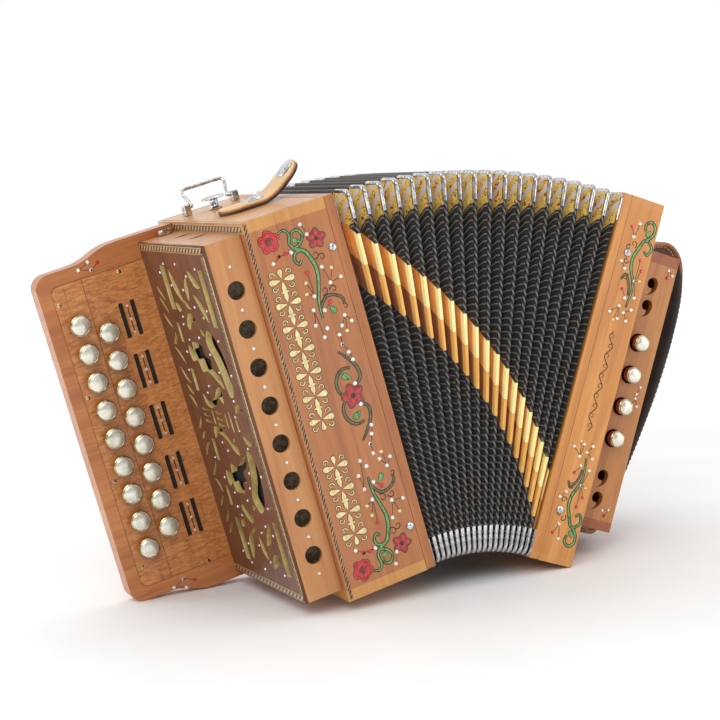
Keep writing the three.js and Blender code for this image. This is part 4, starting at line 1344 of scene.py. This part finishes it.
class Ornament:
    """Flowers, vines and crystals on a flat front face; strokes have a burnt outline under their colour."""

    def __init__(self, prefix, side, body, level):
        self.prefix, self.side, self.body, self.level = prefix, side, body, level
        self.layers = {}

    def layer(self, material):
        return self.layers.setdefault(material, Relief("front", self.level))

    def stroke(self, points, width, material="stem"):
        """A brush stroke through points; width may taper along it."""
        line = curve(points, 12 * len(points))
        self.layer("dark").ribbon(line, np.add(width, 2 * STROKE_BORDER), 0, 0.08)
        self.layer(material).ribbon(line, width, 0.06, 0.2)

    def spiral(self, x, y, radius, start, turns, width=0.8, material="dark"):
        """A curl that winds in to (x, y) from an angle in degrees."""
        t = np.linspace(0, 1, 40)
        line = around(x, y, radius * (1 - 0.78 * t), np.radians(start) + t * turns * math.tau)
        taper = np.array([width, width * 0.5])
        if material != "dark":
            self.layer("dark").ribbon(line, taper + 2 * CURL_BORDER, 0, 0.08)
        self.layer(material).ribbon(line, taper, 0.05, 0.18)

    def shape(self, outline, material, border=0.5):
        """A filled patch of colour on a dark one that shows as its border."""
        outline = np.asarray(outline, float)
        middle = outline.mean(axis=0)
        away = outline - middle
        grown = outline + away / np.maximum(np.linalg.norm(away, axis=1), 0.1)[:, None] * border
        self.layer("dark").blob(grown, 0, 0.1)
        self.layer(material).blob(outline, 0.06, 0.28)

    def leaf(self, x, y, length, width, angle, material="green"):
        """A drop-shaped leaf about (x, y), its blunt end away from its angle."""
        t = full_turn(18)
        along, across = np.cos(t) * length / 2, np.sin(t) * width / 2 * (1 - 0.75 * np.cos(t)) / 1.2
        turn = math.radians(angle)
        drop = np.stack([x + along * math.cos(turn) - across * math.sin(turn),
                         y + along * math.sin(turn) + across * math.cos(turn)], axis=1)
        self.shape(drop, material)

    def flower(self, x, y, radius, start):
        """Pointed petals round a lighter heart, outlined."""
        t = full_turn(PETALS * 8)
        reach = radius * (0.66 + 0.34 * np.abs(np.cos(PETALS * t / 2)) ** 1.6)
        self.shape(around(x, y, reach, t + math.radians(start)), "rose", 0.6)
        for i in range(PETALS):
            angle = math.radians(start) + i * math.tau / PETALS
            heart = (x + radius * 0.5 * math.cos(angle), y + radius * 0.5 * math.sin(angle))
            petal = leaf_outline(*heart, radius * 0.62, radius * 0.36, math.degrees(angle) - 90)
            self.layer("red").blob(petal, 0.26, 0.42)
        self.layer("dark").blob(around(x, y, radius * 0.2, full_turn(10)), 0.3, 0.46)

    def rose(self, x, y, radius, start):
        """Round petals with dark curls in them and a wound heart."""
        for i in range(PETALS):
            angle = math.radians(start + 72 * i)
            cx, cy = x + radius * 0.6 * math.cos(angle), y + radius * 0.6 * math.sin(angle)
            t = full_turn(16)
            lobe = 1 + 0.1 * np.cos(3 * t)
            self.shape(around(cx, cy, radius * 0.44 * lobe, t), "red", 0.5)
            curl = np.radians(start + 72 * i - 80 + np.linspace(0, 160, 12))
            self.layer("heart_line").ribbon(around(cx, cy, radius * 0.24, curl), 0.45, 0.3, 0.4)
        self.layer("rose").blob(around(x, y, radius * 0.42, full_turn(18)), 0.3, 0.45)
        t = np.linspace(0, 1, 36)
        wound = around(x, y, radius * 0.36 * (1 - 0.8 * t), t * 1.6 * math.tau)
        self.layer("heart_line").ribbon(wound, 0.5, 0.42, 0.52)

    def spray(self, root, *tips, gem="crystal", size=1.45):
        """Thin lines from a root crystal to its tips; a tip is (x, y) or (x, y, gem)."""
        self.layer(gem).gem(*root, size)
        for x, y, *kind in tips:
            line = curve([root, ((root[0] + x) / 2 + 0.5, (root[1] + y) / 2), (x, y)], 10)
            self.layer("dark").ribbon(line, 0.5, 0.02, 0.12)
            self.layer(kind[0] if kind else "crystal").gem(x, y, size)

    def finish(self):
        for material, relief in self.layers.items():
            slot = "chrome_fittings" if material in ("crystal", "ruby", "amber") else "light_wood"
            key = "dark" if material == "heart_line" else material
            relief.make(f"{self.prefix}_{material}", self.side, self.body, key, slot)


class Mirrored:
    """Ornament placed by (a, height from the case's middle): above it when way is 1, below it when -1."""

    def __init__(self, art, way):
        self.art, self.way = art, way

    def at(self, points):
        return [(p[0], HEIGHT / 2 + self.way * p[1], *p[2:]) for p in points]

    def one(self, a, rise):
        return a, HEIGHT / 2 + self.way * rise

    def strokes(self, *rows):
        """Each row is (points, widths) or (points, widths, material)."""
        for points, *rest in rows:
            self.art.stroke(self.at(points), *rest)

    def leaf(self, a, rise, length, width, angle):
        self.art.leaf(*self.one(a, rise), length, width, angle * self.way)

    def spirals(self, width, *rows):
        """Each row is (a, rise, radius, start, turns)."""
        for a, rise, radius, start, turns in rows:
            self.art.spiral(*self.one(a, rise), radius, start * self.way, turns * self.way, width)

    def sprays(self, size, *rows):
        """Each row is a root and its tips."""
        for root, *tips in rows:
            self.art.spray(self.one(*root), *self.at(tips), size=size)


def treble_corner_flowers(art, way):
    """Rose, vine, star flower and crystal sprays at one end of the treble front."""
    end = Mirrored(art, way)
    art.rose(*end.one(-54, 119.5), 7.6, 90 * way)
    art.flower(*end.one(-20.5, 112), 7.2, 80 * way)
    end.strokes(
        ([(-46.5, 123), (-42, 124), (-39, 120.5), (-40, 114), (-37, 109.5), (-31, 106), (-27.5, 99),
          (-26, 90), (-28, 80), (-31, 69), (-31.5, 58)], (0.7, 0.9, 1.4, 1.9, 2.1, 1.9, 1.4, 0.6), "green"),
        ([(-38, 110), (-32.5, 112), (-29.6, 117), (-32, 121.5), (-36, 121), (-37.5, 118)],
         (0.9, 1.3, 0.7), "green"))
    end.leaf(-34.6, 114.5, 6.0, 3.2, -30)
    end.strokes(
        ([(-34, 107.3), (-38, 106.5), (-39.6, 102), (-37, 98.6), (-34.8, 101)], (1.2, 1.3, 0.7), "green"),
        ([(-30.5, 66), (-25, 71.5), (-18.5, 71), (-13.5, 67), (-13.2, 62.5)], (1.3, 1.1, 0.8)))
    end.leaf(-22.5, 62, 6.4, 3.8, 120)
    end.spirals(0.9, (-24.5, 101.5, 3.4, 220, 0.9), (-20, 98.5, 2.8, 150, -1.0), (-25, 76, 3.2, 240, 0.9),
                (-18, 75, 3.0, 180, -1.0), (-13, 61, 1.9, 90, -0.8))
    end.sprays(
        1.45,
        ((-19, 80), (-22, 92), (-15.5, 89.5, "amber"), (-10.5, 81.5)),
        ((-33, 74.5), (-36.4, 85, "amber"), (-33.8, 91.5, "ruby"), (-38, 77.5, "amber")),
        ((-36.5, 65.5), (-38, 55), (-34, 45.3)),
        ((-15.5, 55.3), (-19.5, 49), (-16.8, 44.5, "amber"), (-11.5, 50)),
        ((-28.5, 63), (-23, 67.5, "ruby")),
        ((-26, 116.5), (-29, 124.3)),
        ((-40.6, 108), (-45, 108.6, "ruby"), (-50, 108, "ruby")),
        ((-23, 43.5), (-23, 36.5)),
        ((-20, 30), (-23, 36.5), (-18.5, 24)),
    )
    art.spray(end.one(-50, 108), end.one(-55.2, 104.5), gem="ruby")
    for spot in ((-30.4, 50.5), (-21.7, 7.6)):
        art.layer("crystal").gem(*end.one(*spot), 1.5)


def treble_middle_flower(art):
    """Star flower with two looping stems and leaves."""
    for way in (1, -1):
        half = Mirrored(art, way)
        half.strokes(
            ([(-22, 6), (-16.6, 11), (-17.5, 19), (-22, 26), (-27.5, 32.5)], (0.8, 1.5, 1.6, 1.0, 0.3)),
            ([(-22, 19.5), (-29, 19.6), (-34.5, 14), (-35, 6), (-31, 0.5)], (0.6, 1.5, 1.4, 0.7)))
        half.leaf(-26.3, 13.8, 7.2, 4.4, -35)
    art.flower(-25.6, HEIGHT / 2, 8.8, 100)


QUARTERS = np.radians((-90, 0, 90, 180))


def gold_rosettes(art, low, high, units, middle=-52.5):
    """A running border of four-leaved rosettes with curls and lozenges between two heights."""
    pitch = (high - low) / units
    for i in range(units):
        c = low + (i + 0.5) * pitch
        for turn, way in ((0, 1), (180, -1)):
            art.leaf(middle + way * 5.2, c, 8.6, 4.2, 180 - turn, "gold")
            art.leaf(middle, c + way * 4.4, 6.6, 3.6, 270 - turn, "gold")
            for side in (1, -1):
                curl = (middle + way * 6.6, c + side * 4.6, 2.3)
                art.spiral(*curl, 180 - turn, -0.9 * way * side, 0.9, "gold")
        if i < units - 1:
            lozenge = around(middle, c + pitch / 2, np.array((1.7, 3.4, 1.7, 3.4)), QUARTERS)
            art.shape(lozenge, "gold")


def bass_flowers(art, way):
    """Vine, curls and crystal sprays at one end of the bass front."""
    end = Mirrored(art, way)
    end.strokes(
        ([(31.5, 108), (26.5, 108), (23.5, 102), (20.5, 94), (21, 86), (24.6, 78), (26.4, 70), (25, 57)],
         (0.7, 1.2, 1.6, 1.5, 1.4, 1.2, 0.9, 0.4), "green"),
        ([(27, 108), (32, 113), (32.6, 119.5), (28.4, 122.6), (24.4, 119.5), (25.4, 115)],
         (1.3, 1.4, 0.9), "green"))
    end.leaf(28.4, 114, 5.4, 3.2, 60)
    end.strokes(([(30, 108.4), (34, 104), (31.6, 98.6), (28, 100.5)], (1.1, 1.1, 0.7), "green"))
    end.spirals(0.8, (18.4, 103.5, 2.8, 300, 1.0), (14.6, 100, 2.4, 60, 1.0), (15.4, 90.5, 2.6, 0, -1.0),
                (19, 78.5, 2.6, 60, 1.0))
    end.strokes(([(15, 76), (18, 80.5), (22.6, 74), (24.4, 66)], (0.6, 0.9, 0.5)))
    end.sprays(
        1.25,
        ((16.5, 108.5), (19, 119), (13, 115.5, "ruby")),
        ((11.6, 89), (15.6, 84.4)),
        ((26.4, 77.5), (30, 86, "ruby"), (30.6, 78.5, "amber"), (27, 93.5, "ruby")),
        ((22, 63.5), (18, 69.5, "ruby")),
        ((19, 57), (12.6, 51), (20.4, 47.5), (17, 46, "amber")),
        ((24, 53), (30, 56.5), (28, 47.5)),
        ((30, 65.5), (26.5, 77.5)),
    )


TENDRIL = {"a": 20.4, "swing": 2.4, "waves": 5}


def bass_tendril(art, low, high):
    """A thin waving tendril with small curls between the two bass vines."""
    middle, swing, waves = TENDRIL["a"], TENDRIL["swing"], TENDRIL["waves"]
    line = [(middle + swing * math.sin(math.tau * waves * t), low + (high - low) * t)
            for t in np.linspace(0, 1, waves * 4 + 1)]
    art.layer("dark").ribbon(curve(line, 120), 0.8, 0.02, 0.15)
    for i in range(waves * 2):
        side = 1 if i % 2 == 0 else -1
        c = low + (high - low) * (i + 0.5) / (waves * 2)
        art.spiral(middle + side * 0.2, c, 2.3, 90 - 90 * side, 0.9 * side, 0.6)


PIN_PROFILE = [(3.1, -0.2), (3.1, 0.5), (2.48, 1.3), (1.395, 1.8), (0, 2.0)]
BOARD_SCREWS = ((-119, 252), (-169, 242), (-169, 171), (-168.5, 105.5), (-168, 37), (-118, 23))
REAR_SCREW_HEIGHTS = (16, 100, 178, 259)


def frame_line(relief, low, high, width, lift):
    """A thin line round a rectangle, from its low corner to its high one."""
    corners = [low, (high[0], low[1]), high, (low[0], high[1]), low]
    relief.ribbon(resample(corners, 3), width, *lift)


def make_board_fittings():
    """Crystal sprays on the fingerboard's rim, screws in its plates, and its rear cover's screws."""
    low, high = local_box("fingerboard", TREBLE)
    art = Ornament("board_art", TREBLE, "treble_side", low[1])
    art.spray((-148, 262), (-139.5, 265.6), (-138.5, 259.4))
    art.spray((-138.5, 259.4), (-132.6, 263.5, "ruby"))
    art.spray((-149, 13.6), (-140.2, 17), (-140, 10))
    art.spray((-140.2, 17), (-132.2, 13.2, "ruby"))
    art.finish()
    screws = Shape()
    plate_face = local_box("fingerboard_inner_plate", TREBLE)[0][1]
    for a, c in BOARD_SCREWS:
        screw(screws, (a, plate_face, c), (0, -1, 0), 1.7, 0.5)
    for a in (-170, -106):
        for c in (26, 96, 168, 240):
            screw(screws, (a, high[1], c), (0, 1, 0), 2.3, 0.7)
    screws.make("fingerboard_screws", TREBLE, M["brass"], "treble_side", "chrome_fittings")
    groove = Relief("rear", high[1])
    frame_line(groove, (-174, 20), (-102, 246), 0.9, (0.02, 0.12))
    groove.make("fingerboard_rear_line", TREBLE, "treble_side", "dark", "board_wood")


def make_bass_box_crystals():
    art = Ornament("bass_box_art", BASS, "bass_side", local_box("bass_box", BASS)[0][1])
    art.spray((70.5, 234), (74.6, 231), (70.6, 228.2, "ruby"), size=1.2)
    art.spray((72, 143), (70, 137.5), size=1.2)
    art.spray((70, 134), (73, 128.5), (68, 129), size=1.2)
    art.spray((71.6, 47.5), (69.6, 42.4, "ruby"), (66.8, 46.2), size=1.2)
    art.finish()


def make_case_fittings():
    """Screws in the rear of the cases, and thin lines round the cases' tops."""
    inset = 2.6
    for name, side, columns in (("treble", TREBLE, (-11, -62)), ("bass", BASS, (13,))):
        screws = Shape()
        for a in columns:
            for c in REAR_SCREW_HEIGHTS:
                screw(screws, (a, DEPTH, c), (0, 1, 0), 2.3, 0.8)
        screws.make(name + "_rear_screws", side, M["brass"], name + "_side", "chrome_fittings")
    for name, side, start, end in (("treble", TREBLE, -67.4, -9.6), ("bass", BASS, 10.2, 33)):
        line = Relief("top", HEIGHT)
        frame_line(line, (start, inset), (end, DEPTH - inset), 0.7, (0.0, 0.08))
        line.make(name + "_top_line", side, name + "_side", "dark", "light_wood")


def make_ornaments():
    art = Ornament("treble_art", TREBLE, "treble_side", local_box("treble_case", TREBLE)[0][1])
    for way in (1, -1):
        treble_corner_flowers(art, way)
    treble_middle_flower(art)
    gold_rosettes(art, 121, 238, 7)
    gold_rosettes(art, 36, 103, 4)
    art.finish()
    bass = Ornament("bass_art", BASS, "bass_side", local_box("bass_case", BASS)[0][1])
    for way in (1, -1):
        bass_flowers(bass, way)
    bass_tendril(bass, 100, 175)
    bass.finish()
    for drawn, spots in ((art, ((-10.4, 240.3), (-10.8, 35))), (bass, ((15, 233.6), (14.4, 39.5)))):
        pins = Shape()
        for a, c in spots:
            lathe(pins, (a, drawn.level, c), (0, -1, 0), PIN_PROFILE, 24)
        pins.make(drawn.body + "_pins", drawn.side, M["chrome"], drawn.body, "chrome_fittings", 40.0)


# ------------------------------------------------------------------ the whole
FLOOR_HALF = 4.0  # metres


def make_floor():
    """A pale floor that glows towards its far edges, so it meets the white room without a line."""
    mesh = bpy.data.meshes.new("floor")
    corners = [(x * FLOOR_HALF, y * FLOOR_HALF, 0) for x, y in ((-1, -1), (1, -1), (1, 1), (-1, 1))]
    mesh.from_pydata(corners, [], [(0, 1, 2, 3)])
    look = Look("floor_paint", Roughness=0.7)
    drift = look.noise(look.place(), 6, 3)
    look.set("Base Color", look.ramp(drift, (0.3, srgb(244, 244, 243)), (0.7, srgb(250, 250, 250))))
    x, y = look.axis(0), look.axis(1)
    distance_squared = look.plus(look.times(x, x), look.times(y, y))
    look.set("Emission Color", srgb(250, 250, 250))
    look.set("Emission Strength", look.between(distance_squared, 0.25, 2.2, 0.0, 0.4))
    mesh.materials.append(look.material)
    floor = bpy.data.objects.new("floor", mesh)
    bpy.context.scene.collection.objects.link(floor)


make_camera()
make_lights()
make_floor()
make_bellows()
make_cases()
make_grille()
make_inlay_strips()
make_sound_holes()
make_buttons()
make_pallet_slots()
make_bail()
make_stud()
make_slider()
make_bellows_strap()
make_hand_strap()
make_hand_strap_sleeve()
make_hand_strap_screws()
make_ornaments()
make_board_fittings()
make_bass_box_crystals()
make_case_fittings()
